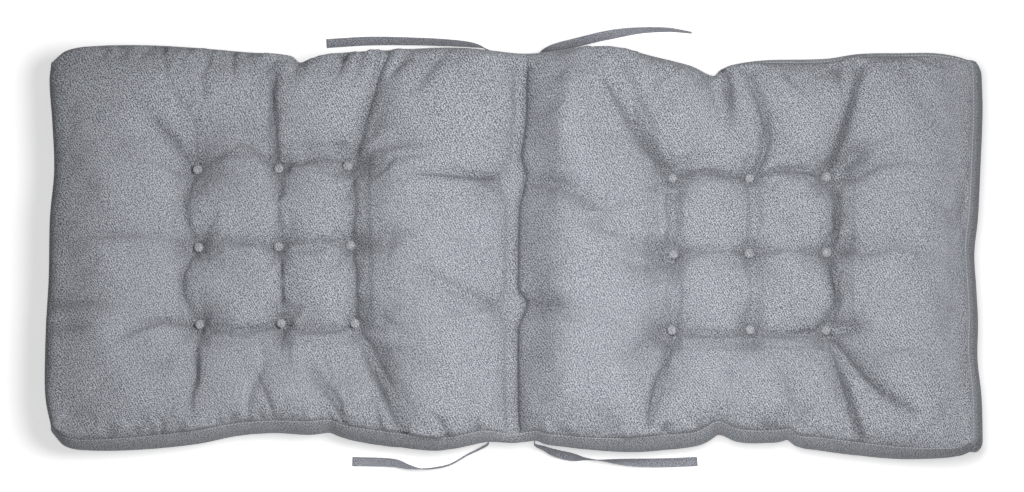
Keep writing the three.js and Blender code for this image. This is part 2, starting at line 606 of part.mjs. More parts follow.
function makeButton(pad, { half, row, column, x, y }) {
  const { radius, rimHeight, height, sides } = BUTTON;
  const profile = [
    new THREE.Vector2(0, 0),
    new THREE.Vector2(radius, rimHeight),
    new THREE.Vector2(0.72 * radius, 0.75 * height),
    new THREE.Vector2(0, height),
  ];
  const geometry = new THREE.LatheGeometry(profile, sides).rotateX(Math.PI / 2);
  const button = namedMesh(`button_${half}_${row}_${column}`, geometry, BUTTON_LOOK);
  button.position.set(x, y, seatHeight(pad, x, y) + CLEARANCE);
  return button;
}

/** The tie's whole route: its root just clear of the band, a short way straight out, then the table's. */
function tieStations(pad, { root, route }) {
  const inward = new THREE.Vector3(0, -root.outward, 0);
  let bandY = 0;
  for (let side = -0.5; side <= 0.5; side += 0.1) {
    for (let face = -0.5; face <= 0.5; face += 0.25) {
      const offset = new THREE.Vector3(face * TIE.thickness, 0, side * TIE.width);
      const from = new THREE.Vector3(root.x, root.outward * WIDTH, root.z).add(offset);
      bandY = Math.max(bandY, root.outward * firstMeeting(pad, from, inward).y);
    }
  }
  const outAt = (distance) => ({ x: root.x, y: root.outward * (bandY + distance), z: root.z, roll: 90 });
  return [outAt(CLEARANCE), outAt(TIE_STUB), ...route];
}

/** A flat tape swept along its route, turning about its own line, nowhere below the surface. */
function makeTie(pad, tie) {
  const stations = tieStations(pad, tie);
  const line = new THREE.CatmullRomCurve3(stations.map(({ x, y, z }) => new THREE.Vector3(x, y, z)));
  const spans = stations.length - 1;
  const up = new THREE.Vector3(0, 0, 1);
  const sections = [];
  for (let i = 0; i <= 2 * spans; i += 1) {
    const at = i / 2;
    const span = Math.min(Math.floor(at), spans - 1);
    const roll = degToRad(lerp(stations[span].roll, stations[span + 1].roll, at - span));
    const along = line.getTangent(at / spans);
    const level = new THREE.Vector3().crossVectors(up, along).normalize();
    const across = level.applyAxisAngle(along, roll);
    const through = new THREE.Vector3().crossVectors(along, across);
    const centre = line.getPoint(at / spans);
    const halfRise = (Math.abs(across.z) * TIE.width + Math.abs(through.z) * TIE.thickness) / 2;
    centre.z = Math.max(centre.z, halfRise + TIE_LIFT);
    sections.push([[1, 1], [-1, 1], [-1, -1], [1, -1]].map(([side, face]) => centre.clone()
      .addScaledVector(across, (side * TIE.width) / 2)
      .addScaledVector(through, (face * TIE.thickness) / 2)));
  }
  const skin = new Skin();
  for (let i = 0; i + 1 < sections.length; i += 1) {
    for (let k = 0; k < 4; k += 1) {
      const next = (k + 1) % 4;
      skin.quad(sections[i][k], sections[i][next], sections[i + 1][next], sections[i + 1][k]);
    }
  }
  skin.quad(...sections[0].slice().reverse());
  skin.quad(...sections[sections.length - 1]);
  return namedMesh(tie.name, skin.geometry(), TIE_LOOK);
}

const cushion = new THREE.Group();
const pad = makePad();
pad.updateMatrixWorld();
cushion.add(pad);
TUFTS.forEach((tuft) => cushion.add(makeButton(pad, tuft)));
TIES.forEach((tie) => cushion.add(makeTie(pad, tie)));

// The origin is midway along and across the whole cushion, on the surface it lies on.
const middle = new THREE.Box3().setFromObject(cushion, true).getCenter(new THREE.Vector3());
cushion.position.set(-middle.x, -middle.y, 0);

export default cushion;
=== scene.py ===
import math
from collections import namedtuple

import bpy
import numpy as np
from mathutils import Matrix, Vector


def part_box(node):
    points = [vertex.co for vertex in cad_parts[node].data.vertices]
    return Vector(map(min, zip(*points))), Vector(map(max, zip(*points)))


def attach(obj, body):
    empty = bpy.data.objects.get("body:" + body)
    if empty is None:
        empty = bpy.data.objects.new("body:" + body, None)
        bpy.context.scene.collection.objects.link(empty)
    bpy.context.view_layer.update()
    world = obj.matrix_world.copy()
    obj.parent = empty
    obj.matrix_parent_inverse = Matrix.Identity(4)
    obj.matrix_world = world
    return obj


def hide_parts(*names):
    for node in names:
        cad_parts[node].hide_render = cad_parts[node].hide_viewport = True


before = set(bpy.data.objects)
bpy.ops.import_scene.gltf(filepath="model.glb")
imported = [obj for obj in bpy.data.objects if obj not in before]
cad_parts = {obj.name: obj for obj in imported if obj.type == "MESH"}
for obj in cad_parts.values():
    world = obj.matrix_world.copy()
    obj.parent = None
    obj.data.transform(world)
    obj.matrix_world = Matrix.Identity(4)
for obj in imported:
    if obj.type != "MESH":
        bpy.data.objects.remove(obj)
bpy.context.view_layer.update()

MM = 0.001
TINY = 1e-6  # keeps divisions clear of zero

# ---- The cushion's measures: the CAD model's, a few of them fitted more closely since ----
HALF_LENGTH = 600
HALF_WIDTH = 250
CROWN_HEIGHT = 119  # where nothing holds the cover down
SEAM_HEIGHT = 67
FAR_SEAM_DROP = 6  # how much lower the seam is along the far edge
RIGHT_SEAM_RISE = 7  # and how much higher along the right end
LOWER_SEAM_HEIGHT = 9
TUFT_HEIGHT = 49
HINGE_X = -4  # the middle of the hinge seam
HINGE_HEIGHT = 53
HINGE_SEAM_HEIGHT = 52
HINGE_LOWER_SEAM_HEIGHT = 20
HINGE_FLOOR = 8  # the width of the stitched floor between the two halves
HINGE_REACH = 46  # how far from its middle the hinge draws the seams together
HINGE_SHOULDER = {"at": 70, "width": 28, "height": 17, "fade": 60}  # the right half's rise beside it
WANDER_REACH = 120  # how far from the hinge the cover follows its wandering line
SOFT_REACH = 64  # how far from a held line the filling stands up again
EDGE_ZONE = 110  # how far in the waves of the long edges are felt
END_ZONE = 60  # and those of the two ends
ROUNDNESS = {"seam": 0.85, "right_end": 1.15, "inner": 1.15}  # 1 for a tent, lower for a fuller pillow
UNDERSIDE_INSET = 13
UNDER_GROOVE = {"half_width": 12, "half_floor": 4, "depth": 9}
UNDER_DIMPLE = {"radius": 16, "depth": 6}

# How far the hinge seam wanders along X, by its place across the width.
HINGE_WANDER = [
    (-250, 3), (-215, 0.5), (-65, 0), (0, 0.5), (40, 1.5), (95, 3), (125, 4), (150, 8), (178, 11), (210, 11),
    (250, 13),
]

# The outline: how far the top seam lies outside a straight edge, by the place along it.
FAR_EDGE_OUT = [
    (-600, -4), (-580, 12), (-540, 18), (-480, 19), (-420, 16), (-350, 10), (-305, 7), (-289, 4),
    (-278, -4), (-262, 2), (-238, 8), (-150, 13), (-85, 16), (-35, 12), (5, 10), (40, 11), (90, 17),
    (135, 15), (180, 4), (225, -8), (258, -22), (267, -13), (290, -7), (330, -5), (400, -4),
    (450, 3), (530, 3), (575, -1), (600, -7),
]
NEAR_EDGE_OUT = [
    (-600, -12), (-582, 3), (-545, 6), (-480, 2), (-410, -6), (-360, -15), (-310, -19), (-265, -18),
    (-238, -20), (-220, -13), (-170, -5), (-115, 3), (-96, 4), (-77, 1.5), (-57, -3), (-38, -6.5),
    (-5, -5), (26, -6.5), (39, -1.5), (60, 0.5), (90, 3),
    (145, 4), (190, 0), (235, -5), (261, -18), (288, -8), (335, -6), (353, -8), (364, 0), (390, 3),
    (430, 8), (490, 15), (545, 19), (580, 17), (600, 8),
]
LEFT_END_OUT = [
    (-250, -5), (-215, 2), (-187, 4), (-147, 4), (-100, 3), (-40, 0), (40, -1), (103, -6), (170, -3),
    (225, 1), (250, -1),
]
RIGHT_END_OUT = [
    (-250, -12), (-190, -13), (-140, -18), (-90, -17), (-45, -19), (0, -21), (45, -16), (100, -13),
    (190, -9), (250, -10),
]

# How the side band stands on each side: how far its middle bulges, how far its lower seam leans out, and
# how round its bulge is (lower for a boxier one).
BANDS = {
    "far": {
        "bulge": [(-600, 3), (258, 3), (267, 4), (290, 6), (330, 10), (530, 10), (575, 9), (600, 8)],
        "lean": -4, "roundness": 0.35,
    },
    "near": {
        "bulge": 9, "roundness": 0.8,
        "lean": [
            (-600, -6), (-582, -5), (-545, -2), (-480, 2), (-410, 3), (-360, 1), (-310, 1), (-265, 3),
            (-220, 3), (-170, 5), (-115, 2), (-77, 0), (-5, 0), (39, -2), (90, 0), (145, 4), (190, 6),
            (235, 4), (288, 3), (353, 0), (390, 2), (430, 3), (490, 1), (545, -5), (580, -9), (600, -9),
        ],
    },
    "left": {"bulge": 3, "lean": -6, "roundness": 0.8},
    "right": {"bulge": 11, "lean": 7, "roundness": 0.25},
}
NEAR_SEAM_INSET = 2.3  # how far the near seam lies inside its table

# Tufts by node name, at their places on the pattern.
TUFTS = {
    "button_left_1_1": (-410, 106), "button_left_1_2": (-305, 108), "button_left_1_3": (-216, 111),
    "button_left_2_1": (-408, 3), "button_left_2_2": (-305, 4), "button_left_2_3": (-212, 6),
    "button_left_3_1": (-406, -99), "button_left_3_2": (-301, -97), "button_left_3_3": (-206, -98),
    "button_right_1_1": (204, 95), "button_right_1_2": (304, 95), "button_right_1_3": (404, 97),
    "button_right_2_1": (205, -6), "button_right_2_2": (303, -5), "button_right_2_3": (403, -4),
    "button_right_3_1": (203, -107), "button_right_3_2": (304, -106), "button_right_3_3": (402, -107),
}

# Kinds of crease: how far its valley reaches, how sharply it dips at its middle (1 for a sharp fold, 2 for
# a soft trough), where and how wide the ridges beside it are, and how much of the way to its middle the
# cover is tucked in.
Kind = namedtuple("Kind", "reach sharpness ridge_at ridge_width tuck")
SHARP = Kind(4, 1.0, 9, 6, 0.7)
EDGE = Kind(4, 1.0, 15, 12, 0.6)
PLAIN = Kind(7, 1.1, 12, 7, 0.5)
SOFT = Kind(11, 1.7, 22, 12, 0.1)
HOLLOW_FOLD = Kind(20, 1.8, 34, 14, 0)
TROUGH = Kind(8.5, 3.5, 22, 12, 0)
RIM = Kind(4, 1.3, 9, 5, 0.6)
FULL_TUCK_DEPTH = 6  # a crease this deep or deeper is fully tucked
FULL_SHADE_DEPTH = 8  # and one this deep gets the darkest painted crease shade
CREASE_REACHES = 5  # a crease is felt this many of its reaches away

# Creases in the cover: a line on the pattern, its depth at the start, middle and end, its kind, and where
# it isn't USUAL_LIFT, how far the cover stands up on its left and on its right as one walks along it.
USUAL_LIFT = (0.8, 0.8)
CREASES = [
    # left half, folds from the far row of tufts to the far seam
    ([(-410, 112), (-410, 137), (-411, 155), (-416, 172), (-428, 186), (-440, 201)], (5, 4, 1), SHARP),
    ([(-414, 110), (-440, 140), (-468, 168), (-494, 195)], (5, 5, 2), SHARP),
    ([(-438, 112), (-480, 131), (-523, 149)], (1, 3, 1), SOFT),
    ([(-307, 112), (-310, 131), (-315, 158), (-313, 192), (-314, 223), (-316, 238)], (6, 7, 7), PLAIN),
    ([(-318, 158), (-327, 198), (-328, 223), (-316, 241), (-297, 246), (-284, 245)], (1, 4, 3), PLAIN),
    ([(-204, 118), (-199, 140), (-195, 161), (-189, 180), (-182, 201), (-176, 222), (-169, 241),
     (-163, 254)], (3, 8, 6), SHARP, (0.5, 1.8)),
    ([(-206, 112), (-196, 136), (-185, 156), (-175, 182), (-168, 199)], (4, 5, 1), SOFT),
    ([(-168, 219), (-153, 232), (-137, 248)], (0.5, 5, 5), SHARP),
    ([(-221, 254), (-223, 243), (-232, 215)], (7, 6, 1), PLAIN),
    ([(-196, 254), (-198, 243), (-208, 218)], (6, 5, 1), PLAIN),
    ([(-133, 193), (-115, 221), (-99, 246)], (0.5, 5, 5), PLAIN),
    ([(-205, 114), (-180, 128), (-157, 133), (-130, 135), (-103, 132)], (4, 8, 1), SOFT, (0.3, 1.0)),
    ([(-204, 104), (-161, 109), (-127, 116)], (3, 3.5, 0.5), SHARP),
    ([(-300, 124), (-275, 132), (-238, 132)], (3, 8, 3), HOLLOW_FOLD, (0, 0)),
    ([(-398, 128), (-386, 152), (-364, 166)], (2, 7, 1), HOLLOW_FOLD, (0, 0)),
    ([(-434, 96), (-440, 60), (-436, 24)], (1, 5, 1), HOLLOW_FOLD, (0, 0)),
    ([(-452, 262), (-452, 240), (-450, 218)], (3, 3.5, 0.5), SHARP),
    ([(-363, 256), (-363, 236), (-361, 214)], (3, 3.5, 0.5), SHARP),
    # left half, rows
    ([(-406, 112), (-378, 124), (-351, 134), (-330, 125), (-309, 112)], (4, 5, 4), EDGE, (-3.5, 1.2)),
    ([(-301, 112), (-273, 114), (-243, 119), (-220, 116)], (5, 5, 5), EDGE, (-3.5, 1.2)),
    ([(-404, 8), (-375, 9), (-342, 6), (-312, 4)], (4, 3, 3), SHARP),
    ([(-300, 9), (-273, 9), (-245, 11), (-217, 8)], (4, 4, 4), SHARP),
    ([(-402, -104), (-378, -110), (-339, -107), (-306, -101)], (4, 4, 4), EDGE, (1.2, -2)),
    ([(-297, -101), (-279, -108), (-258, -110), (-228, -108), (-211, -102)], (5, 4, 5), EDGE, (1.2, -2)),
    # left half, columns
    ([(-410, 100), (-418, 75), (-421, 51), (-421, 30), (-413, 8)], (3, 3, 3), EDGE, (0.8, -3.5)),
    ([(-410, -2), (-427, -37), (-428, -58), (-419, -80), (-409, -94)], (3, 4, 3), EDGE, (0.8, -2.5)),
    ([(-307, 102), (-306, 60), (-305, 30), (-305, 9)], (2, 2, 1), SHARP),
    ([(-304, -2), (-301, -28), (-300, -60), (-301, -91)], (4, 3.5, 4), SHARP),
    ([(-209, 104), (-207, 75), (-206, 40), (-208, 12)], (4, 5, 4), EDGE, (-2, 1.6)),
    ([(-209, 0), (-206, -28), (-204, -60), (-204, -91)], (5, 5.5, 5), EDGE, (-2, 1.6)),
    ([(-416, 4), (-470, 9), (-558, 13)], (3, 3, 1.5), PLAIN),
    ([(-204, 8), (-175, 10), (-148, 10)], (5, 4, 1), SOFT),
    # left half, folds from the near row of tufts
    ([(-411, -101), (-450, -100), (-468, -106), (-492, -117), (-514, -129)], (5, 5, 2), SHARP),
    ([(-429, -138), (-447, -154), (-465, -169)], (0.5, 4, 1), PLAIN),
    ([(-404, -108), (-411, -144), (-409, -169), (-416, -194), (-427, -236)], (3, 3, 2), SHARP),
    ([(-300, -103), (-293, -125), (-290, -150), (-288, -172)], (3, 4, 1), PLAIN),
    ([(-336, -160), (-324, -190), (-309, -224)], (1, 4, 4), SHARP),
    ([(-269, -157), (-254, -179), (-237, -201), (-224, -224), (-217, -240)], (1, 7, 7), SHARP, (1.5, 0.5)),
    ([(-201, -108), (-190, -145), (-177, -171), (-164, -203), (-151, -233),
     (-140, -254)], (2, 11, 10), PLAIN, (1.5, 0.5)),
    ([(-198, -112), (-180, -140), (-165, -170), (-154, -205)], (2, 6, 2), SOFT),
    ([(-182, -190), (-175, -228), (-168, -250)], (0.5, 4, 4), SHARP),
    ([(-453, -252), (-453, -240), (-452, -224)], (3.5, 3, 0.3), SHARP),
    ([(-342, -240), (-342, -230), (-341, -212)], (3.5, 3, 0.3), SHARP),
    ([(-238, -236), (-238, -226), (-239, -208)], (3.5, 3, 0.3), SHARP),
    ([(-596, -81), (-550, -82), (-508, -84)], (5, 5, 1), PLAIN),
    ([(-596, -112), (-573, -111), (-535, -110)], (4, 4, 0.5), PLAIN),
    # both sides of the hinge
    ([(-130, 93), (-108, 93), (-84, 92), (-60, 93), (-26, 95)], (2, 8, 8), SHARP, (0.3, 2.0)),
    ([(-62, 92), (-44, 88), (-28, 82)], (1, 4, 4), PLAIN),
    ([(-148, -30), (-118, -36), (-84, -50), (-28, -74)], (0.5, 4.5, 5), SHARP),
    ([(-124, -52), (-90, -62), (-65, -70), (-30, -80)], (0.5, 3, 4), PLAIN),
    ([(16, 92), (45, 83), (66, 77), (84, 68), (100, 53)], (4, 7, 3), SOFT, (1.0, 0)),
    ([(15, -76), (42, -80), (66, -86), (89, -92)], (4, 6, 1), SOFT),
    ([(102, 18), (131, 11), (154, 7)], (1, 4, 1), SHARP),
    ([(72, 34), (98, 29), (128, 35)], (1, 3, 1), SOFT),
    ([(-102, -226), (-94, -236), (-86, -250)], (1, 5, 6), SHARP),
    ([(-48, -226), (-48, -236), (-46, -246)], (1, 5, 6), SHARP),
    # right half, folds from the far row of tufts
    ([(196, 106), (171, 132), (155, 158), (134, 192), (119, 218)], (4, 5, 4), SHARP, (1.0, 0.3)),
    ([(200, 106), (187, 119), (174, 137), (162, 160), (157, 182)], (5, 7, 4), SHARP, (1.0, 0.3)),
    ([(184, 152), (177, 166), (166, 186), (157, 210), (144, 238)], (1, 5, 4), SHARP),
    ([(266, 242), (274, 228), (279, 204), (281, 177), (278, 150)], (9, 8, 1), SHARP),
    ([(307, 100), (318, 112), (325, 130), (327, 151), (318, 183), (309, 214),
     (304, 232)], (5, 6, 5), PLAIN),
    ([(404, 101), (419, 133), (432, 175), (441, 207), (450, 238)], (8, 9, 7), SHARP),
    ([(427, 196), (422, 212), (417, 236)], (0.5, 5, 6), PLAIN),
    ([(416, 104), (438, 122), (464, 140)], (8, 15, 1), HOLLOW_FOLD, (0, 0)),
    ([(410, 100), (462, 107), (503, 116), (534, 130)], (4, 5, 1), SOFT),
    # right half, rows
    ([(208, 98), (249, 101), (290, 96), (300, 96)], (6, 7, 6), EDGE, (-3, 1.4)),
    ([(308, 97), (345, 105), (373, 102), (400, 99)], (5, 6, 5), EDGE, (-3, 1.4)),
    ([(209, -6), (254, -4), (298, -5)], (4, 2.5, 4), SHARP),
    ([(308, -5), (352, -3), (398, -4)], (4, 2.5, 4), SHARP),
    ([(207, -110), (249, -116), (290, -113), (300, -110)], (4, 5, 4), EDGE, (1.4, -2.5)),
    ([(308, -110), (330, -114), (352, -114), (376, -109), (398, -109)], (4, 5, 5), EDGE, (1.4, -2.5)),
    ([(278, -121), (304, -124), (334, -120)], (1, 4, 1), SOFT),
    # right half, columns
    ([(206, 88), (208, 60), (208, 30), (206, 2)], (4, 4, 4), TROUGH, (0.5, -2.5)),
    ([(206, -12), (208, -40), (208, -75), (204, -99)], (4, 4, 4), TROUGH, (0.5, -2.5)),
    ([(305, 88), (311, 60), (311, 30), (304, 2)], (4, 4, 4), TROUGH, (0.5, 0.5)),
    ([(305, -12), (311, -40), (311, -72), (305, -99)], (4, 4, 4), TROUGH, (0.5, 0.5)),
    ([(409, 92), (413, 82), (417, 64), (416, 35), (413, 14), (410, 0)], (6, 9, 8), EDGE, (-4, 1.4)),
    ([(409, -4), (408, -22), (412, -44), (416, -70), (410, -97)], (8, 9, 6), EDGE, (-4, 1.4)),
    ([(200, -16), (175, -26), (150, -25), (115, -20)], (5, 8, 1), SOFT),
    ([(199, -4), (165, -6), (115, -11)], (5, 7, 1), SOFT),
    ([(410, -2), (462, -12), (493, -5), (517, -10), (524, -24)], (6, 5, 2), PLAIN),
    ([(412, 6), (436, 12), (458, 14)], (4, 5, 1), SOFT),
    ([(412, -102), (438, -104), (462, -102)], (8, 13, 1), HOLLOW_FOLD, (0, 0)),
    # right half, folds from the near row of tufts
    ([(201, -113), (195, -149), (184, -177), (178, -198), (173, -236)], (4, 7, 6), SHARP),
    ([(196, -116), (176, -136), (164, -160), (158, -186)], (6, 11, 2), HOLLOW_FOLD, (0, 0)),
    ([(338, -156), (352, -188), (364, -232)], (0.5, 5, 4), PLAIN),
    ([(405, -112), (417, -124), (438, -152), (462, -181), (486, -202), (514, -221)], (6, 11, 6), SHARP),
    ([(404, -114), (417, -156), (426, -184), (436, -219), (447, -255)], (2, 9, 9), SHARP),
    ([(548, 22), (579, 42), (589, 73)], (0.5, 5, 2), SOFT),
    ([(534, -61), (556, -74), (579, -89)], (0.5, 4, 1), SOFT),
    ([(194, -250), (194, -240), (195, -224)], (4, 4, 0.5), SHARP),
    ([(238, -244), (238, -232), (239, -216)], (4, 4, 0.5), SHARP),
    ([(324, -248), (324, -238), (323, -222)], (3.5, 4, 0.5), SHARP),
    ([(336, -248), (336, -238), (337, -222)], (3.5, 4, 0.5), SHARP),
]

# Pinches between neighbouring tufts, along the rows and then along the columns: the two tufts by row and
# column, and for each half of the cushion the pull midway and the bow.
PINCHED_PAIRS = [((row, column), (row, column + 1)) for row in (1, 2, 3) for column in (1, 2)]
PINCHED_PAIRS += [((row, column), (row + 1, column)) for column in (1, 2, 3) for row in (1, 2)]
PINCHES = {
    "left": [
        (0.58, 17), (0.55, 5), (0.25, 4), (0.25, 6), (0.48, -10), (0.42, -11),
        (0.34, -17), (0.34, -21), (0.25, 0), (0.3, 1), (0.5, 2), (0.5, 2),
    ],
    "right": [
        (0.48, 4), (0.48, 7), (0.25, 2), (0.22, 3), (0.48, -7), (0.48, -6),
        (0.42, -3), (0.42, -3), (0.25, 4), (0.25, 4), (0.78, 13), (0.78, 13),
    ],
}
# The pull of each long fold on the filling under it: its tuft, its bearing in degrees, where it starts and
# ends along that, its bow, and its pull at the start and at the end.
FOLDS = {
    "left": [
        ((1, 1), 90, 0, 72, -5, 0.5, 0.1), ((1, 1), 132, 0, 120, 0, 0.6, 0.1),
        ((1, 2), 92, 0, 138, 3, 0.7, 0.7), ((1, 3), 74, 0, 132, -3, 0.5, 0.5),
        ((1, 3), 60, 20, 150, 6, 0.5, 0.4), ((3, 1), 264, 0, 132, 3, 0.5, 0.4),
        ((3, 1), 195, 0, 105, -11, 0.4, 0.05), ((3, 2), 301, 70, 150, 0, 0.5, 0.9),
        ((3, 3), 295, 0, 158, 4, 0.7, 0.7), ((3, 2), 250, 60, 130, 0, 0.2, 0.5),
    ],
    "right": [
        ((1, 1), 124, 0, 148, 9, 0.6, 0.3), ((1, 1), 117, 0, 100, 4, 0.8, 0.4),
        ((1, 2), 90, 0, 130, -20, 0.65, 0.4), ((1, 2), 104, 70, 150, 0, 0.1, 0.9),
        ((1, 3), 72, 0, 142, -2, 0.7, 0.5), ((3, 1), 257, 0, 128, 3, 0.7, 0.6),
        ((3, 3), 314, 0, 158, 0, 0.7, 0.3), ((3, 3), 287, 25, 146, 0, 0.5, 0.7),
        ((1, 3), 38, 0, 95, 0, 0.7, 0), ((3, 3), 0, 0, 80, 0, 0.6, 0), ((1, 1), 205, 0, 65, 0, 0.5, 0),
        ((3, 1), 215, 0, 70, 0, 0.6, 0),
    ],
}

# Where the two halves are tacked together across the hinge: where the floor opens and how wide, then the
# lines along which each tack pulls the filling down: start, end, bow and pull at both ends.
HINGE_TACKS = [
    {"near": 56, "waist": 97, "far": 124, "left": 14, "right": 9},
    {"near": -104, "waist": -71, "far": -53, "left": 11, "right": 13},
]
TACK_PULLS = [
    ((14, 90), (104, 50), 10, 0.9, 0.4), ((-24, 98), (-125, 97), 0, 0.6, 0.05),
    ((20, -76), (92, -96), 0, 0.7, 0.2), ((-22, -78), (-85, -88), 0, 0.5, 0.1),
]

# The creases along both sides of the hinge's floor: how far outside it they run, and how deep they are.
HINGE_CREASE = {"out": 3, "end": 240, "points": 81, "depths": (3, 7)}

# ---- Curves and blends ----


def lerp(a, b, t):
    return a + (b - a) * t


def smoothstep(x, low, high):
    t = np.clip((x - low) / (high - low), 0, 1)
    return t * t * (3 - 2 * t)


def bell(x, power=2):
    """1 at 0, falling off to 0 on both sides; a higher power gives a flatter top."""
    return np.exp(-(x**power))


def along_table(rows, at):
    """A smooth curve through a table's rows of place and value, level beyond both ends."""
    keys, values = (np.array(column, float) for column in zip(*rows))
    slopes = np.empty_like(values)
    slopes[1:-1] = (values[2:] - values[:-2]) / (keys[2:] - keys[:-2])
    slopes[0] = (values[1] - values[0]) / (keys[1] - keys[0])
    slopes[-1] = (values[-1] - values[-2]) / (keys[-1] - keys[-2])
    at = np.clip(at, keys[0], keys[-1])
    row = np.clip(np.searchsorted(keys, at, side="right") - 1, 0, len(keys) - 2)
    span = keys[row + 1] - keys[row]
    t = (at - keys[row]) / span
    rise = values[row + 1] - values[row]
    bend = (1 - t) * (slopes[row] * span - rise) - t * (slopes[row + 1] * span - rise)
    return values[row] + rise * t + t * (1 - t) * bend


def travelled(line):
    """How far along a line of points each of them is."""
    return np.concatenate([[0], np.cumsum(np.linalg.norm(np.diff(line, axis=0), axis=1))])


def smooth_line(points, step=2.0):
    """Points every step along a smooth curve through the given ones, and each one's share of the way."""
    points = np.array(points, float)
    at = travelled(points)
    wanted = np.linspace(0, at[-1], max(int(at[-1] / step), 2) + 1)
    columns = [along_table(list(zip(at, column)), wanted) for column in points.T]
    return np.stack(columns, 1), wanted / at[-1]


def bowed_line(start, end, bow):
    """Points every 2 mm along a line that bows sideways, and each one's share of the way."""
    along = end - start
    length = np.linalg.norm(along)
    t = np.linspace(0, 1, int(length / 2) + 2)
    sideways = np.array([-along[1], along[0]]) / length
    return start + np.outer(t, along) + np.outer(4 * bow * t * (1 - t), sideways), t


def unit(vectors):
    return vectors / np.linalg.norm(vectors, axis=-1, keepdims=True)


def smooth_noise(shape, cell, wavelength, seed):
    """Smooth random values around 0, about 1 high, with bumps of about this wavelength."""
    values = np.random.default_rng(seed).standard_normal(shape)
    waves = np.hypot(np.fft.fftfreq(shape[0], cell)[:, None], np.fft.fftfreq(shape[1], cell)) * wavelength
    values = np.fft.ifft2(np.fft.fft2(values) * np.exp(-(waves**2) / 2)).real
    return values / values.std()


def grid_place(shape, u, v):
    """The row and column of a grid before each pattern point, and how far beyond them it lies."""
    rows, columns = shape
    along = np.clip((u + HALF_LENGTH) / (2 * HALF_LENGTH) * (columns - 1), 0, columns - 1.001)
    across = np.clip((v + HALF_WIDTH) / (2 * HALF_WIDTH) * (rows - 1), 0, rows - 1.001)
    i, j = along.astype(int), across.astype(int)
    return j, i, across - j, along - i


def pattern_grid(shape):
    """The pattern places of an even grid over the whole cushion."""
    rows, columns = shape
    return np.meshgrid(
        np.linspace(-HALF_LENGTH, HALF_LENGTH, columns), np.linspace(-HALF_WIDTH, HALF_WIDTH, rows)
    )


def on_grid(values, u, v):
    """A grid's values at pattern points, blended between its own."""
    j, i, tv, tu = grid_place(values.shape, u, v)
    near = lerp(values[j, i], values[j, i + 1], tu)
    far = lerp(values[j + 1, i], values[j + 1, i + 1], tu)
    return lerp(near, far, tv)


def cubic_on_grid(values, u, v):
    """A coarse grid's values at pattern points, on smooth curves through its own."""
    rows, columns = values.shape[:2]
    j, i, tv, tu = grid_place((rows, columns), u, v)

    def spline(a, b, c, d, t):
        return b + 0.5 * t * (c - a + t * (2 * a - 5 * b + 4 * c - d + t * (3 * (b - c) + d - a)))

    def along(row):
        row = np.clip(row, 0, rows - 1)
        near = [values[row, np.clip(i + k, 0, columns - 1)] for k in (-1, 0, 1, 2)]
        return spline(*near, tu[..., None])

    return spline(*(along(j + k) for k in (-1, 0, 1, 2)), tv[..., None])


# ---- What holds the cover down ----
RELAX_CELL = 2.5
RELAX_PASSES = 420
RELAX_OVERSHOOT = 1.9
GRID_SHAPE = (int(2 * HALF_WIDTH / RELAX_CELL) + 1, int(2 * HALF_LENGTH / RELAX_CELL) + 1)
SEWN_STIFFNESS = 4000
FOLD_STIFFNESS = 0.175  # of a fully pulled fold, for each millimetre of a cell
SEWN_FLAT = {"radius": 6.5, "margin": 0.5}  # round each thread, and beyond the hinge's floor


def tuft_at(half, row_and_column):
    return np.array(TUFTS["button_%s_%d_%d" % (half, *row_and_column)], float)


def pulled_lines():
    """Each pinch, fold and tack as points with the pull on the cover there."""
    for half in ("left", "right"):
        for (start, end), (pull, bow) in zip(PINCHED_PAIRS, PINCHES[half]):
            points, t = bowed_line(tuft_at(half, start), tuft_at(half, end), bow)
            yield points, lerp(1, pull, np.sin(np.pi * t))
        for tuft, bearing, start, end, bow, pull, end_pull in FOLDS[half]:
            angle = math.radians(bearing)
            along = np.outer((start, end), (math.cos(angle), math.sin(angle)))
            points, t = bowed_line(*(tuft_at(half, tuft) + along), bow)
            yield points, lerp(pull, end_pull, t)
    for start, end, bow, pull, end_pull in TACK_PULLS:
        points, t = bowed_line(np.array(start, float), np.array(end, float), bow)
        yield points, lerp(pull, end_pull, t)


def hinge_floor_sides(v):
    """The two sides of the hinge's stitched floor: it opens into a kite at each tack."""
    left = HINGE_X - HINGE_FLOOR / 2 + np.zeros_like(v)
    right = HINGE_X + HINGE_FLOOR / 2 + np.zeros_like(v)
    for tack in HINGE_TACKS:
        opened = np.interp(v, [tack["near"], tack["waist"], tack["far"]], [0, 1, 0])
        left -= tack["left"] * opened
        right += tack["right"] * opened
    return left, right


def sewn_through(u, v, radius, margin):
    """Where the cover is sewn down: round each tuft's thread, and over the hinge's floor."""
    left, right = hinge_floor_sides(v)
    sewn = (u > left - margin) & (u < right + margin)
    for tuft_u, tuft_v in TUFTS.values():
        sewn |= np.hypot(u - tuft_u, v - tuft_v) < radius
    return sewn


def held_down(u, v):
    """How stiffly each point of the relaxing grid is held down."""
    held = np.zeros(GRID_SHAPE)
    last = np.array(GRID_SHAPE)[::-1] - 2
    for points, pull in pulled_lines():
        places = np.rint((points + (HALF_LENGTH, HALF_WIDTH)) / RELAX_CELL).astype(int)
        i, j = np.clip(places, 1, last).T
        np.maximum.at(held, (j, i), FOLD_STIFFNESS * pull**2 * RELAX_CELL)
    held[sewn_through(u, v, **SEWN_FLAT)] = SEWN_STIFFNESS
    return held


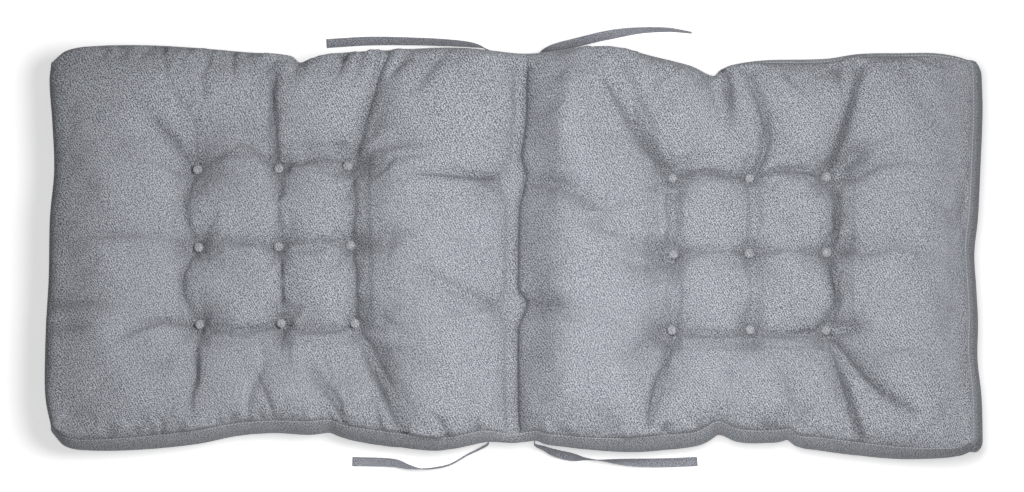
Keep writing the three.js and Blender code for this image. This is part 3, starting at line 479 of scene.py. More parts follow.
def relaxed_fullness():
    """
    How full the cushion is over its pattern, from 0 where the cover is held down to 1 where it is free.
    The cover is a stretched skin over springy filling, relaxed on a grid until every point balances.
    """
    push = (RELAX_CELL / SOFT_REACH) ** 2
    stiffness = (4 + push + held_down(*pattern_grid(GRID_SHAPE)))[1:-1, 1:-1]
    checker = np.indices(GRID_SHAPE).sum(0)[1:-1, 1:-1] % 2
    shares = [np.where(checker == colour, RELAX_OVERSHOOT / stiffness, 0) for colour in (1, 0)]
    full = np.full(GRID_SHAPE, 0.5)
    full[[0, -1]] = 0
    full[:, [0, -1]] = 0
    inner = full[1:-1, 1:-1]
    for _ in range(RELAX_PASSES):
        for share in shares:
            around = full[:-2, 1:-1] + full[2:, 1:-1] + full[1:-1, :-2] + full[1:-1, 2:]
            inner += share * (around + push - stiffness * inner)
    return np.clip(full, 0, 1)


# ---- The cover's shape over its pattern ----
def near_hinge(u):
    return 1 - smoothstep(np.abs(u - HINGE_X), HINGE_FLOOR / 2, HINGE_REACH)


def near_right_end(u):
    return smoothstep(u, HALF_LENGTH - EDGE_ZONE, HALF_LENGTH - EDGE_ZONE / 2)


def to_seam(u, v):
    """How far inside the seam round the cover pattern points lie."""
    return np.minimum(HALF_LENGTH - np.abs(u), HALF_WIDTH - np.abs(v))


def plan_point(u, v):
    """A pattern point's place in plan: the outline's waves move it near the edges only."""
    near_out = along_table(NEAR_EDGE_OUT, u) - NEAR_SEAM_INSET
    edge_out = np.where(v > 0, along_table(FAR_EDGE_OUT, u), near_out)
    end_out = np.where(u > 0, along_table(RIGHT_END_OUT, v), along_table(LEFT_END_OUT, v))
    edge_share = smoothstep(np.abs(v), HALF_WIDTH - EDGE_ZONE, HALF_WIDTH)
    end_share = smoothstep(np.abs(u), HALF_LENGTH - END_ZONE, HALF_LENGTH)
    wander_share = 1 - smoothstep(np.abs(u - HINGE_X), UNDER_GROOVE["half_width"], WANDER_REACH)
    x = u + wander_share * along_table(HINGE_WANDER, v) + end_share * np.sign(u) * end_out
    y = v + edge_share * np.sign(v) * edge_out
    return x, y


def pillow_height(fullness, u, v):
    """The cover's height, rounded like a pillow between the lines that hold it down."""
    hinge, right_end = near_hinge(u), near_right_end(u)
    inside = smoothstep(to_seam(u, v), 0, EDGE_ZONE)
    at_edge = lerp(ROUNDNESS["seam"], ROUNDNESS["right_end"], right_end)
    rounded = on_grid(fullness, u, v) ** lerp(at_edge, ROUNDNESS["inner"], inside)
    at_seam = lerp(SEAM_HEIGHT, HINGE_SEAM_HEIGHT, hinge) + RIGHT_SEAM_RISE * right_end
    at_seam -= FAR_SEAM_DROP * smoothstep(v, HALF_WIDTH / 2, HALF_WIDTH) * (1 - hinge)
    tied_down = lerp(at_seam, lerp(TUFT_HEIGHT, HINGE_HEIGHT, hinge), inside)
    off_shoulder = (u - HINGE_X - HINGE_SHOULDER["at"]) / HINGE_SHOULDER["width"]
    faded = HINGE_SHOULDER["height"] * smoothstep(to_seam(u, v), 0, HINGE_SHOULDER["fade"])
    shoulder = faded * bell(off_shoulder)
    return lerp(tied_down, CROWN_HEIGHT, rounded) + shoulder


def hinge_creases():
    """The creases along both sides of the hinge's floor, where the two halves rise from it."""
    v = np.linspace(-HINGE_CREASE["end"], HINGE_CREASE["end"], HINGE_CREASE["points"])
    left, right = hinge_floor_sides(v)
    sides = (left - HINGE_CREASE["out"], right + HINGE_CREASE["out"])
    wander = along_table(HINGE_WANDER, v)
    return [
        (np.column_stack([side + wander, v]), (depth, depth, depth), RIM, (0, 0))
        for side, depth in zip(sides, HINGE_CREASE["depths"])
    ]


def places_near(line, x, y, reach):
    """
    The places within reach of a line, and for each of them the number of the line's nearest point, the way
    from that point to it, and whether it lies on the line's left.
    """
    low, high = line.min(0) - reach, line.max(0) + reach
    near = np.nonzero((x > low[0]) & (x < high[0]) & (y > low[1]) & (y < high[1]))
    away = np.stack([x[near][:, None] - line[:, 0], y[near][:, None] - line[:, 1]], -1)
    closest = np.hypot(away[..., 0], away[..., 1]).argmin(1)
    away = away[np.arange(len(closest)), closest]
    heading = np.gradient(line, axis=0)[closest]
    on_left = heading[:, 0] * away[:, 1] - heading[:, 1] * away[:, 0] > 0
    return near, closest, away, on_left


def crease_profile(gap, t, on_left, depths, kind, lifts=USUAL_LIFT):
    """A crease's valley, ridge and tuck, this far from its middle and at share t of its length."""
    depth = np.interp(t, [0, 0.5, 1], depths)
    lift = np.where(on_left, *lifts) * depth / max(depths)
    valley = depth * bell(gap / kind.reach, kind.sharpness)
    ridge = lift * bell((gap - kind.ridge_at) / kind.ridge_width)
    tuck = kind.tuck * np.minimum(depth / FULL_TUCK_DEPTH, 1) * bell(gap / kind.reach)
    return valley, ridge, tuck


def crease_shape(x, y):
    """
    What the creases do to the cover at plan places: how far they move it out (+) or in (-), how far they
    tuck it sideways towards their middles, and how deep in a tucked crease each place is, which sets the
    painted crease shade.
    """
    deepest, highest, crease_shade_depth = np.zeros((3, *x.shape))
    tucked = np.zeros((*x.shape, 2))
    for points, depths, kind, *lifts in CREASES + hinge_creases():
        line, t = smooth_line(points)
        near, closest, away, on_left = places_near(line, x, y, CREASE_REACHES * kind.reach)
        valley, ridge, tuck = crease_profile(np.hypot(*away.T), t[closest], on_left, depths, kind, *lifts)
        deeper = valley > deepest[near]
        tucked[near] = np.where(deeper[:, None], -away * tuck[:, None], tucked[near])
        deepest[near] = np.maximum(deepest[near], valley)
        highest[near] = np.where(np.abs(ridge) > np.abs(highest[near]), ridge, highest[near])
        # A tucked crease's depth here sets its painted crease shade.
        crease_shade_depth[near] = np.maximum(crease_shade_depth[near], valley * kind.tuck / SHARP.tuck)
    return highest - deepest, tucked, crease_shade_depth


# ---- The pieces' meshes ----
def new_object(name, data):
    made = bpy.data.objects.new(name, data)
    bpy.context.scene.collection.objects.link(made)
    return made


def mesh_object(name, points, faces):
    """A new object in the scene, from points in millimetres."""
    mesh = bpy.data.meshes.new(name)
    mesh.from_pydata((np.array(points) * MM).tolist(), [], faces)
    return new_object(name, mesh)


def faces_between(*corners):
    """Faces from arrays of point numbers, one array for each corner."""
    return np.stack([numbers.ravel() for numbers in corners], 1).tolist()


def grid_faces(numbers, downward=False):
    """The faces of a grid of point numbers."""
    corners = [numbers[:-1, :-1], numbers[:-1, 1:], numbers[1:, 1:], numbers[1:, :-1]]
    return faces_between(*(reversed(corners) if downward else corners))


def node_box(name):
    """A CAD node's two box corners, in millimetres."""
    low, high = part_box(name)
    return np.array(low) / MM, np.array(high) / MM


def pattern_origin():
    """Where the pattern's own origin lies in the frame."""
    name = "button_left_1_1"
    low, high = node_box(name)
    return (low + high)[:2] / 2 - np.array(TUFTS[name])


ORIGIN = pattern_origin()


class MeshParts:
    """Collects blocks of points and the faces between them."""

    def __init__(self):
        self.blocks = []
        self.count = 0
        self.faces = []

    def add_points(self, points, weave, hollow_shade_depth=None, crease_shade_depth=None):
        """
        Points with their places on the cut cloth, and how deep each lies in a hollow and in a crease, from
        0 to 1, which sets how much painted shade it gets there. Returns their numbers.
        """
        flat = points.reshape(-1, 3)
        depths = [np.zeros(len(flat)) if depth is None else depth.ravel() for depth in (hollow_shade_depth, crease_shade_depth)]
        self.blocks.append((flat, weave.reshape(-1, 2), *depths))
        self.count += len(flat)
        return np.arange(self.count - len(flat), self.count).reshape(points.shape[:-1])

    def add_grid(self, numbers, downward=False):
        self.faces.extend(grid_faces(numbers, downward))

    def join_rings(self, upper, lower):
        self.faces.extend(faces_between(upper, lower, np.roll(lower, -1), np.roll(upper, -1)))

    def join_to_sparse_ring(self, ring, sparse):
        """Faces from a ring to one inside it that has only every UNDER_STRIDE-th of its points."""
        half = UNDER_STRIDE // 2
        for k, here in enumerate(sparse):
            there = sparse[(k + 1) % len(sparse)]
            span = [ring[(k * UNDER_STRIDE + i) % len(ring)] for i in range(UNDER_STRIDE + 1)]
            self.faces.extend([span[i], here, span[i + 1]] for i in range(half))
            self.faces.append([span[half], here, there])
            self.faces.extend([span[i], there, span[i + 1]] for i in range(half, UNDER_STRIDE))

    def close_with_tip(self, ring, tip):
        """A point at the middle of a ring, and the faces between the two."""
        number = self.add_points(np.array([tip]), np.array([tip[:2]]))
        self.faces.extend(faces_between(np.roll(ring, 1), ring, np.repeat(number, len(ring))))

    def object(self, name):
        """The finished piece, with its weave and its depths for the painted shade as attributes."""
        points, weave, hollow_shade_depth, crease_shade_depth = (np.concatenate(column) for column in zip(*self.blocks))
        piece = mesh_object(name, points + (*ORIGIN, 0), self.faces)
        mesh = piece.data
        mesh.shade_smooth()
        corners = np.empty(len(mesh.loops), int)
        mesh.loops.foreach_get("vertex_index", corners)
        mesh.uv_layers.new(name="weave").data.foreach_set("uv", (weave[corners] * MM).ravel())
        for attribute, values in (("hollow_shade_depth", hollow_shade_depth), ("crease_shade_depth", crease_shade_depth)):
            mesh.attributes.new(attribute, "FLOAT", "POINT").data.foreach_set("value", values)
        return piece


# ---- The cover's cloth simulation ----
# A coarse grid of cloth, cut a little too large, is blown up while threads, hinge and seams hold it.
SIM_SHAPE = (84, 202)
SIM_FRAMES = 22
SIM_CAP = 9.0  # no point may move further than this
SIM_EXTRA_CLOTH = 0.035
SIM_SETTINGS = {
    "quality": 6, "mass": 0.3, "air_damping": 2, "vertex_group_mass": "held",
    "tension_stiffness": 25, "compression_stiffness": 25, "shear_stiffness": 12, "bending_stiffness": 0.08,
    "shrink_min": -SIM_EXTRA_CLOTH, "shrink_max": -SIM_EXTRA_CLOTH,
    "use_pressure": True, "uniform_pressure_force": 3.0,
}
SIM_PINNED = {"radius": 7.5, "margin": 3}  # round each thread, and beyond the hinge's floor
FOLD_PIN = 0.55  # how firmly a fully pulled line holds the cloth
HINGE_CALM = {"share": 0.3, "reach": 90}  # the cloth moves less near the hinge, which is sewn through,
END_CALM = 90  # and near the two ends, which are stretched flat


def pin_weights(u, v):
    """How firmly each point of the simulated cloth is held, from 0 to 1."""
    weights = np.zeros_like(u)
    for points, pull in pulled_lines():
        for (line_u, line_v), share in zip(points[::2], pull[::2]):
            place = np.abs(v[:, 0] - line_v).argmin(), np.abs(u[0] - line_u).argmin()
            weights[place] = max(weights[place], FOLD_PIN * share)
    weights[sewn_through(u, v, **SIM_PINNED)] = 1
    weights[[0, -1]] = 1
    weights[:, [0, -1]] = 1
    return weights


def cover_cloth(start, weights):
    """The cloth before it moves, with the group of its held points and its cloth modifier."""
    numbers = np.arange(weights.size).reshape(weights.shape)
    cloth = mesh_object("cover_cloth", start.reshape(-1, 3), grid_faces(numbers))
    group = cloth.vertex_groups.new(name="held")
    for number, weight in enumerate(weights.ravel()):
        if weight > 0:
            group.add([number], float(weight), "REPLACE")
    modifier = cloth.modifiers.new("cloth", "CLOTH")
    for name, value in SIM_SETTINGS.items():
        setattr(modifier.settings, name, value)
    modifier.settings.effector_weights.gravity = 0
    modifier.collision_settings.use_collision = False
    modifier.collision_settings.use_self_collision = False
    modifier.point_cache.frame_start = 1
    modifier.point_cache.frame_end = SIM_FRAMES
    return cloth


def simulated_movement(fullness):
    """How far the cloth moves from its first shape, at each point of its own grid."""
    u, v = pattern_grid(SIM_SHAPE)
    start = np.stack([*plan_point(u, v), pillow_height(fullness, u, v)], -1)
    cloth = cover_cloth(start, pin_weights(u, v))
    scene = bpy.context.scene
    for number in range(1, SIM_FRAMES + 1):
        scene.frame_set(number)
    moved = np.empty(start.size)
    evaluated = cloth.evaluated_get(bpy.context.evaluated_depsgraph_get())
    evaluated.data.vertices.foreach_get("co", moved)
    mesh = cloth.data
    bpy.data.objects.remove(cloth)
    bpy.data.meshes.remove(mesh)
    scene.frame_set(1)
    return moved.reshape(start.shape) / MM - start


def cloth_movement(fullness, u, v):
    movement = simulated_movement(fullness)
    size = np.linalg.norm(movement, axis=-1, keepdims=True)
    movement *= SIM_CAP * np.tanh(size / SIM_CAP) / np.maximum(size, TINY)
    off_hinge = smoothstep(np.abs(u - HINGE_X), HINGE_FLOOR, HINGE_CALM["reach"])
    share = lerp(HINGE_CALM["share"], 1, off_hinge)
    share *= smoothstep(HALF_LENGTH - np.abs(u), 0, END_CALM)
    return cubic_on_grid(movement, u, v) * share[..., None]


# ---- The pad's top panel ----
OVERHANG = {"out": 2.6, "reach": 22, "roundness": 0.7}
LUMPS = [(1.3, 120, 11), (0.25, 45, 12)]  # uneven filling: height, wavelength and random seed
LUMP_FADE = {"seam": 30, "hinge_from": 6, "hinge_to": 40}
PUCKER = {"height": 0.7, "spacing": 13, "reach": 16, "fade": 4, "rows": 64, "samples": 2048, "seed": 13}
PERIMETER = 3500  # about how far it is round the cushion
SEAM_GROOVE = {"depth": 3, "reach": 3, "right_end_share": 0.4}
RELIEF_FADE = (-1, 5)  # how far inside the seam creases, lumps and puckers start and are full
TUCK_FADE = 12
CREASE_UPRIGHT = {"share": 2, "from": 4, "to": 40}  # how much creases sink straight down, inside the seam
# Painted shade in hollows: how the cover round each place is averaged, how far below that is a full hollow,
# which gets the darkest painted shade, and the hinge's.
HOLLOW = {"cells": 12, "passes": 3, "full_depth": 18, "hinge_reach": 18, "hinge_share": 0.45}
# The seats of the buttons, and the gathers round them: their depth, number and turn from tuft to tuft.
SEAT = {"radius": 7.2, "reach": 26, "rim": 1.2, "gap": 0.5, "deepest": 3, "steepness": 1.3, "softness": 1.4}
GATHERS = [(0.22, 7, 1), (0.16, 4, 2)]


def surface_normals(x, y, z):
    points = np.stack([x, y, z], -1)
    return unit(np.cross(np.gradient(points, axis=1), np.gradient(points, axis=0)))


def swollen_past_seam(x, y, u, v):
    """Plan places, moved out near the seam, where the panel swells past it."""
    reach = OVERHANG["reach"]
    swell = OVERHANG["out"] * np.sin(np.pi * np.clip(to_seam(u, v) / reach, 0, 1)) ** OVERHANG["roundness"]
    swell *= 1 - near_right_end(u)
    to_end = np.clip(1 - (HALF_LENGTH - np.abs(u)) / reach, 0, 1)
    to_side = np.clip(1 - (HALF_WIDTH - np.abs(v)) / reach, 0, 1)
    swell /= np.maximum(np.hypot(to_end, to_side), TINY)
    return x + swell * np.sign(u) * to_end, y + swell * np.sign(v) * to_side


def filling_lumps(u, v):
    """Small lumps of the filling, away from the seams and the hinge."""
    calm = smoothstep(to_seam(u, v), 0, LUMP_FADE["seam"])
    calm *= smoothstep(np.abs(u - HINGE_X), LUMP_FADE["hinge_from"], LUMP_FADE["hinge_to"])
    lumps = np.zeros_like(u)
    for height, wavelength, seed in LUMPS:
        lumps += height * calm * on_grid(smooth_noise(GRID_SHAPE, RELAX_CELL, wavelength, seed), u, v)
    return lumps


def seam_puckers(u, v):
    """The puckers along the seams: one row of noise, laid once round the cushion."""
    rows, samples = PUCKER["rows"], PUCKER["samples"]
    noise = smooth_noise((rows, samples), 1, samples * PUCKER["spacing"] / PERIMETER, PUCKER["seed"])
    turn = np.arctan2(v / HALF_WIDTH, u / HALF_LENGTH) / (2 * np.pi) % 1
    height = PUCKER["height"] * noise[rows // 2][(turn * (samples - 1)).astype(int)]
    to_edge = to_seam(u, v)
    return height * np.exp(-to_edge / PUCKER["reach"]) * smoothstep(to_edge, 0, PUCKER["fade"])


def seat_buttons(points):
    """Presses the cover down under each button, and gathers it round the button's rim."""
    for number, (name, place) in enumerate(TUFTS.items()):
        bottom = node_box(name)[0][2]
        dx, dy = np.moveaxis(points[..., :2] - place, -1, 0)
        near = np.hypot(dx, dy) < SEAT["reach"]
        away, angle = np.hypot(dx, dy)[near], np.arctan2(dy, dx)[near]
        gather = 1 + sum(depth * np.cos(count * angle + turn * number) for depth, count, turn in GATHERS)
        under = bottom - SEAT["gap"] + SEAT["rim"] * np.minimum(away / SEAT["radius"], 1)
        limit = under + np.maximum(away - SEAT["radius"], 0) * SEAT["steepness"] * gather
        soft = SEAT["softness"]
        pressed = -soft * np.logaddexp(-points[near][:, 2] / soft, -limit / soft)
        points[near, 2] = np.maximum(pressed, bottom - SEAT["deepest"])
    return points


def top_panel(u, v):
    """The top panel's points, and how deep in a crease each lies."""
    fullness = relaxed_fullness()
    plan = np.stack([*plan_point(u, v), pillow_height(fullness, u, v)], -1)
    x, y, z = np.moveaxis(plan + cloth_movement(fullness, u, v), -1, 0)
    x, y = swollen_past_seam(x, y, u, v)
    to_edge = to_seam(u, v)

    outward = surface_normals(x, y, z)
    upright = smoothstep(to_edge, CREASE_UPRIGHT["from"], CREASE_UPRIGHT["to"])
    outward[..., 2] += CREASE_UPRIGHT["share"] * upright
    crease_out, tucked, crease_shade_depth = crease_shape(x, y)
    relief = (crease_out + filling_lumps(u, v) + seam_puckers(u, v)) * smoothstep(to_edge, *RELIEF_FADE)
    groove = SEAM_GROOVE["depth"] * lerp(1, SEAM_GROOVE["right_end_share"], near_right_end(u))
    z = z - groove * np.exp(-to_edge / SEAM_GROOVE["reach"])
    points = np.stack([x, y, z], -1) + unit(outward) * relief[..., None]
    points[..., :2] += tucked * smoothstep(to_edge, 0, TUCK_FADE)[..., None]
    return seat_buttons(points), crease_shade_depth


def box_blurred(values, cells):
    """The grid's mean over a square round each point, with its border values carried outward."""
    for axis in (0, 1):
        padding = [(cells, cells) if axis == k else (0, 0) for k in (0, 1)]
        totals = np.cumsum(np.pad(values, padding, mode="edge"), axis=axis)
        count = values.shape[axis]
        ahead = np.take(totals, range(2 * cells, 2 * cells + count), axis=axis)
        behind = np.take(totals, range(count), axis=axis)
        values = (ahead - behind) / (2 * cells)
    return values


def hollow_depth(u, z):
    """How deep each point lies below the cover round it, from 0 to 1, which sets its painted shade; less at
    the open hinge.
    """
    mean = z
    for _ in range(HOLLOW["passes"]):
        mean = box_blurred(mean, HOLLOW["cells"])
    off_hinge = smoothstep(np.abs(u - HINGE_X), HINGE_FLOOR, HOLLOW["hinge_reach"])
    return np.clip((mean - z) / HOLLOW["full_depth"], 0, 1) * lerp(HOLLOW["hinge_share"], 1, off_hinge)


# ---- The pad's side band, underside and whole ----
BAND_ROWS = 12
BAND_CLOSENESS = 1.4  # over 1 for band rows that lie closer below the upper seam
BAND_SMOOTHING = 8
SEAM_SMOOTHING = 6
UNDER_STRIDE = 4  # the underside takes every fourth mesh line
UNDER_CURVE_ROWS = 2
UNDER_INNER_INSET = 24
GROOVE_FROM = 0.99  # the groove comes out through the band where near_hinge is over this
SEAM_CLOSENESS = 0.3  # the first mesh cell at a seam, against an even one

# The mesh lines over the pattern, closer at the seams, at the hinge and over the tufts: where each zone
# starts, how many cells it has and how they are spaced.
U_ZONES = [
    (-600, 16, "from_seam"), (-560, 26, "even"), (-470, 112, "even"), (-150, 32, "even"),
    (-30, 28, "even"), (22, 36, "even"), (150, 112, "even"), (470, 26, "even"), (560, 16, "to_seam"),
]
V_ZONES = [(-250, 16, "from_seam"), (-210, 156, "even"), (210, 16, "to_seam")]


def mesh_stations(zones, end):
    """The places of the mesh lines along one way of the pattern."""
    stations = []
    stops = [zone[0] for zone in zones[1:]] + [end]
    for (start, cells, spacing), stop in zip(zones, stops):
        t = np.arange(cells) / cells
        if spacing == "from_seam":
            t = lerp(t * t, t, SEAM_CLOSENESS)
        if spacing == "to_seam":
            t = 1 - lerp((1 - t) ** 2, 1 - t, SEAM_CLOSENESS)
        stations.extend(lerp(start, stop, t))
    return np.array(stations + [end])


def border(grid):
    """A grid's border as one ring, counterclockwise from its near left corner."""
    return np.concatenate([grid[0, :-1], grid[:-1, -1], grid[-1, :0:-1], grid[:0:-1, 0]])


def smooth_ring(values, passes):
    """Values round a ring, blended with their neighbours."""
    for _ in range(passes):
        values = (np.roll(values, 1, axis=0) + 2 * values + np.roll(values, -1, axis=0)) / 4
    return values


def outward_directions(seam):
    """Which way is out of the cushion, at each point round the seam."""
    ring = smooth_ring(seam[:, :2], SEAM_SMOOTHING)
    dx, dy = (np.roll(ring, -1, axis=0) - np.roll(ring, 1, axis=0)).T
    return unit(np.column_stack([dy, -dx]))


def band_value(key, outward, u):
    """One of the side band's values round the seam, blended at the cushion's corners."""
    def on(side):
        value = BANDS[side][key]
        return along_table(value, u) if isinstance(value, list) else value

    at_side = np.where(outward[:, 1] > 0, on("far"), on("near"))
    at_end = np.where(outward[:, 0] > 0, on("right"), on("left"))
    return smooth_ring(lerp(at_side, at_end, outward[:, 0] ** 2), BAND_SMOOTHING)


def side_band(seam, u, v):
    """Rings down the side band and in under the cushion, as far as the flat underside."""
    outward = outward_directions(seam)
    bulge, lean, roundness = (band_value(key, outward, u) for key in ("bulge", "lean", "roundness"))
    lower = lerp(LOWER_SEAM_HEIGHT, HINGE_LOWER_SEAM_HEIGHT, near_hinge(u))
    rings = []
    for t in (np.arange(1, BAND_ROWS + 1) / BAND_ROWS) ** BAND_CLOSENESS:
        out = bulge * np.sin(np.pi * t) ** roundness + lean * t
        rings.append(np.column_stack([seam[:, :2] + outward * out[:, None], lerp(seam[:, 2], lower, t)]))
    flat_z = np.where(near_hinge(u) > GROOVE_FROM, UNDER_GROOVE["depth"], 0)
    inward = UNDERSIDE_INSET * np.column_stack([u / HALF_LENGTH, v / HALF_WIDTH])
    for t in np.arange(1, UNDER_CURVE_ROWS + 1) / UNDER_CURVE_ROWS:
        z = lerp(lower, flat_z, np.sin(t * np.pi / 2))
        rings.append(np.column_stack([seam[:, :2] + outward * lean[:, None] - inward * t, z]))
    return rings


def underside(u, v):
    """The flat underside's inner points, with its groove and the dimples of the tufts' threads."""
    x, y = plan_point(u, v)
    x = x - UNDER_INNER_INSET * u / HALF_LENGTH
    y = y - UNDER_INNER_INSET * v / HALF_WIDTH
    off_groove = smoothstep(np.abs(u - HINGE_X), UNDER_GROOVE["half_floor"], UNDER_GROOVE["half_width"])
    z = UNDER_GROOVE["depth"] * (1 - off_groove)
    for tuft_x, tuft_y in TUFTS.values():
        away = np.hypot(x - tuft_x, y - tuft_y) / UNDER_DIMPLE["radius"]
        z = np.maximum(z, UNDER_DIMPLE["depth"] * (1 - smoothstep(away, 0, 1)))
    return np.stack([x, y, z], -1)


def make_pad(u, v, top, crease_shade_depth):
    """The whole pad as one closed mesh: top panel, side band and underside."""
    parts = MeshParts()
    # Painted shade: hollows and tucked creases darken the cover's colour through these two depths.
    painted_crease_shade = np.clip(crease_shade_depth / FULL_SHADE_DEPTH, 0, 1)
    numbers = parts.add_points(top, np.stack([u, v], -1), hollow_depth(u, top[..., 2]), painted_crease_shade)
    parts.add_grid(numbers)
    ring = border(numbers)
    seam = border(top)
    around = np.cumsum(np.linalg.norm(seam - np.roll(seam, 1, axis=0), axis=1))
    for points in side_band(seam, border(u), border(v)):
        down = np.linalg.norm(points - seam, axis=1)
        below = parts.add_points(points, np.column_stack([around, -down]))
        parts.join_rings(ring, below)
        ring = below
    stride = slice(None, None, UNDER_STRIDE)
    inner_u, inner_v = u[stride, stride], v[stride, stride]
    inner = parts.add_points(underside(inner_u, inner_v), np.stack([inner_u, inner_v], -1))
    parts.join_to_sparse_ring(ring, border(inner))
    parts.add_grid(inner, downward=True)
    return parts.object("cushion_pad")


# ---- Buttons ----
BUTTON_RINGS = 9
BUTTON_SIDES = 28
BUTTON_RIM = 0.36  # the rim's height, as a share of the button's
BUTTON_ROUNDNESS = 0.75  # 1 for a ball's outline, lower for a squarer one
BUTTON_PLEATS = {"count": 14, "depth": 0.025, "fade": 4}


def button_rings(x, y, low, high):
    """Rings up a low dome whose cover is gathered in round the rim."""
    angle = np.linspace(0, 2 * np.pi, BUTTON_SIDES, endpoint=False)
    slope = np.linspace(-np.pi / 2, np.pi / 2, BUTTON_RINGS + 2)[1:-1, None]
    height = high[2] - low[2]
    rise = np.where(slope < 0, BUTTON_RIM, 1 - BUTTON_RIM) * height * np.sin(slope)
    at_rim = BUTTON_PLEATS["depth"] * np.cos(slope) ** BUTTON_PLEATS["fade"]
    pleats = 1 + at_rim * np.cos(BUTTON_PLEATS["count"] * angle)
    reach = (high[1] - low[1]) / 2 * np.cos(slope) ** BUTTON_ROUNDNESS * pleats
    z = low[2] + BUTTON_RIM * height + rise + 0 * angle
    return np.stack([x + reach * np.cos(angle), y + reach * np.sin(angle), z], -1)


def make_buttons():
    """The cloth-covered buttons, all in one piece."""
    parts = MeshParts()
    for name, (x, y) in TUFTS.items():
        low, high = node_box(name)
        rings = button_rings(x, y, low, high)
        numbers = parts.add_points(rings, rings[..., :2])
        for lower, upper in zip(numbers[:-1], numbers[1:]):
            parts.join_rings(upper, lower)
        parts.close_with_tip(numbers[0][::-1], (x, y, low[2]))
        parts.close_with_tip(numbers[-1], (x, y, high[2]))
    return parts.object("buttons")


# ---- Ties ----
TIE_WIDTH = 12
TIE_THICKNESS = 1.4
TIE_LIFT = 0.2
TIE_STUB = 6  # how far a tie stands straight out of the seam
TIE_STEP = 2.5
# One side of a tie's section, from edge to edge: the tape is folded over along both edges.
TIE_SECTION = [
    (1.0, 0.35), (0.93, 0.9), (0.8, 0.72), (0.4, 0.85), (0.0, 0.9), (-0.4, 0.85), (-0.8, 0.72), (-0.93, 0.9),
    (-1.0, 0.35),
]

# Each tie's root in the seam (x, z and which way is out), then its route (x, y, z, roll in degrees).
TIES = {
    "tie_far_left": {"root": (-28, 22, 1), "route": [
        (-39, 275, 19, 75), (-56, 281, 14, 45), (-85, 285, 9, 30), (-135, 288, 5, 20), (-190, 289, 2, 6),
        (-244, 286, 1, 0),
    ]},
    "tie_far_right": {"root": (32, 21, 1), "route": [
        (47, 275, 15, 45), (75, 284, 9, 10), (115, 295, 5, 15), (160, 302, 5, 60), (200, 303, 6, 80),
        (230, 299, 7, 98),
    ]},
    "tie_near_left": {"root": (-34, 22, -1), "route": [
        (-45, -256, 18, 88), (-61, -263, 13, 84), (-82, -274, 8, 84), (-102, -279, 8, 84),
        (-120, -280, 7, 78), (-137, -277, 5, 50), (-158, -271, 2, 15), (-209, -269, 1, 0),
    ]},
    "tie_near_right": {"root": (26, 22, -1), "route": [
        (38, -255, 17, 75), (52, -260, 12, 50), (71, -264, 8, 40), (92, -267, 8, 90), (110, -269, 8, 105),
        (150, -271, 4, 155), (190, -271, 2, 175), (236, -269, 1, 180),
    ]},
}


def tie_line(name, tie):
    """Points along a tie, with its roll there, from inside the seam to the free end."""
    x, z, out = tie["root"]
    low, high = (corner[1] - ORIGIN[1] for corner in node_box(name))
    band_y = low if out > 0 else high
    stations = [(x, band_y, z, 90), (x, band_y + out * TIE_STUB, z, 90), *tie["route"]]
    return smooth_line(stations, TIE_STEP)[0]


def tie_directions(line):
    """The directions across a tie's width and through its thickness."""
    along = unit(np.gradient(line[:, :3], axis=0))
    level = unit(np.column_stack([-along[:, 1], along[:, 0], np.zeros(len(along))]))
    upright = np.cross(along, level)
    roll = np.radians(line[:, 3])[:, None]
    across = level * np.cos(roll) + upright * np.sin(roll)
    return across, np.cross(along, across)


def lifted(line, across, through):
    """The tie's line, high enough for its lowest edge to clear the surface."""
    centre = line[:, :3].copy()
    half_rise = (np.abs(across[:, 2]) * TIE_WIDTH + np.abs(through[:, 2]) * TIE_THICKNESS) / 2
    centre[:, 2] = np.maximum(centre[:, 2], half_rise + TIE_LIFT)
    return centre


def make_tie(name, tie):
    """A flat tape folded over along both edges, square-cut at its free end."""
    line = tie_line(name, tie)
    across, through = tie_directions(line)
    section = np.array(TIE_SECTION)
    section = np.concatenate([section, -section]) * (TIE_WIDTH / 2, TIE_THICKNESS / 2)
    rings = lifted(line, across, through)[:, None] + across[:, None] * section[:, :1]
    rings += through[:, None] * section[:, 1:]
    along = np.arange(len(line)) * TIE_STEP
    parts = MeshParts()
    numbers = parts.add_points(rings, np.stack(np.broadcast_arrays(along[:, None], section[:, 0]), -1))
    for first, second in zip(numbers[:-1], numbers[1:]):
        parts.join_rings(second, first)
    parts.faces.extend([numbers[0][::-1].tolist(), numbers[-1].tolist()])
    return parts.object(name + "_tape")


# ---- Stitches ----
STITCH = {"length": 3.0, "pitch": 4.4, "thickness": 1.1, "sunk": 0.1, "level": 0.6, "sides": 6}
# How thick a stitch is at each share of its length. Where it is thicker than its level, it stands up.
STITCH_PROFILE = [(0.0, 0.35), (0.18, 0.9), (0.5, 1.1), (0.82, 0.9), (1.0, 0.35)]
SEAM_STITCH_DROP = 2.0  # how far below the upper seam, and above the lower, the stitches run


def stitch_points(start, end, up):
    """Rings of points round each stitch; up is off the cloth."""
    up = unit(up)
    side = unit(np.cross(end - start, up))
    radius = STITCH["thickness"] / 2
    rings = []
    for share, thick in STITCH_PROFILE:
        lift = radius * (thick - STITCH["level"]) - STITCH["sunk"]
        middle = lerp(start, end, share) + up * lift
        for angle in 2 * np.pi * np.arange(STITCH["sides"]) / STITCH["sides"]:
            rings.append(middle + radius * thick * (side * math.cos(angle) + up * math.sin(angle)))
    return np.stack(rings, 1).reshape(len(start), len(STITCH_PROFILE), STITCH["sides"], 3)


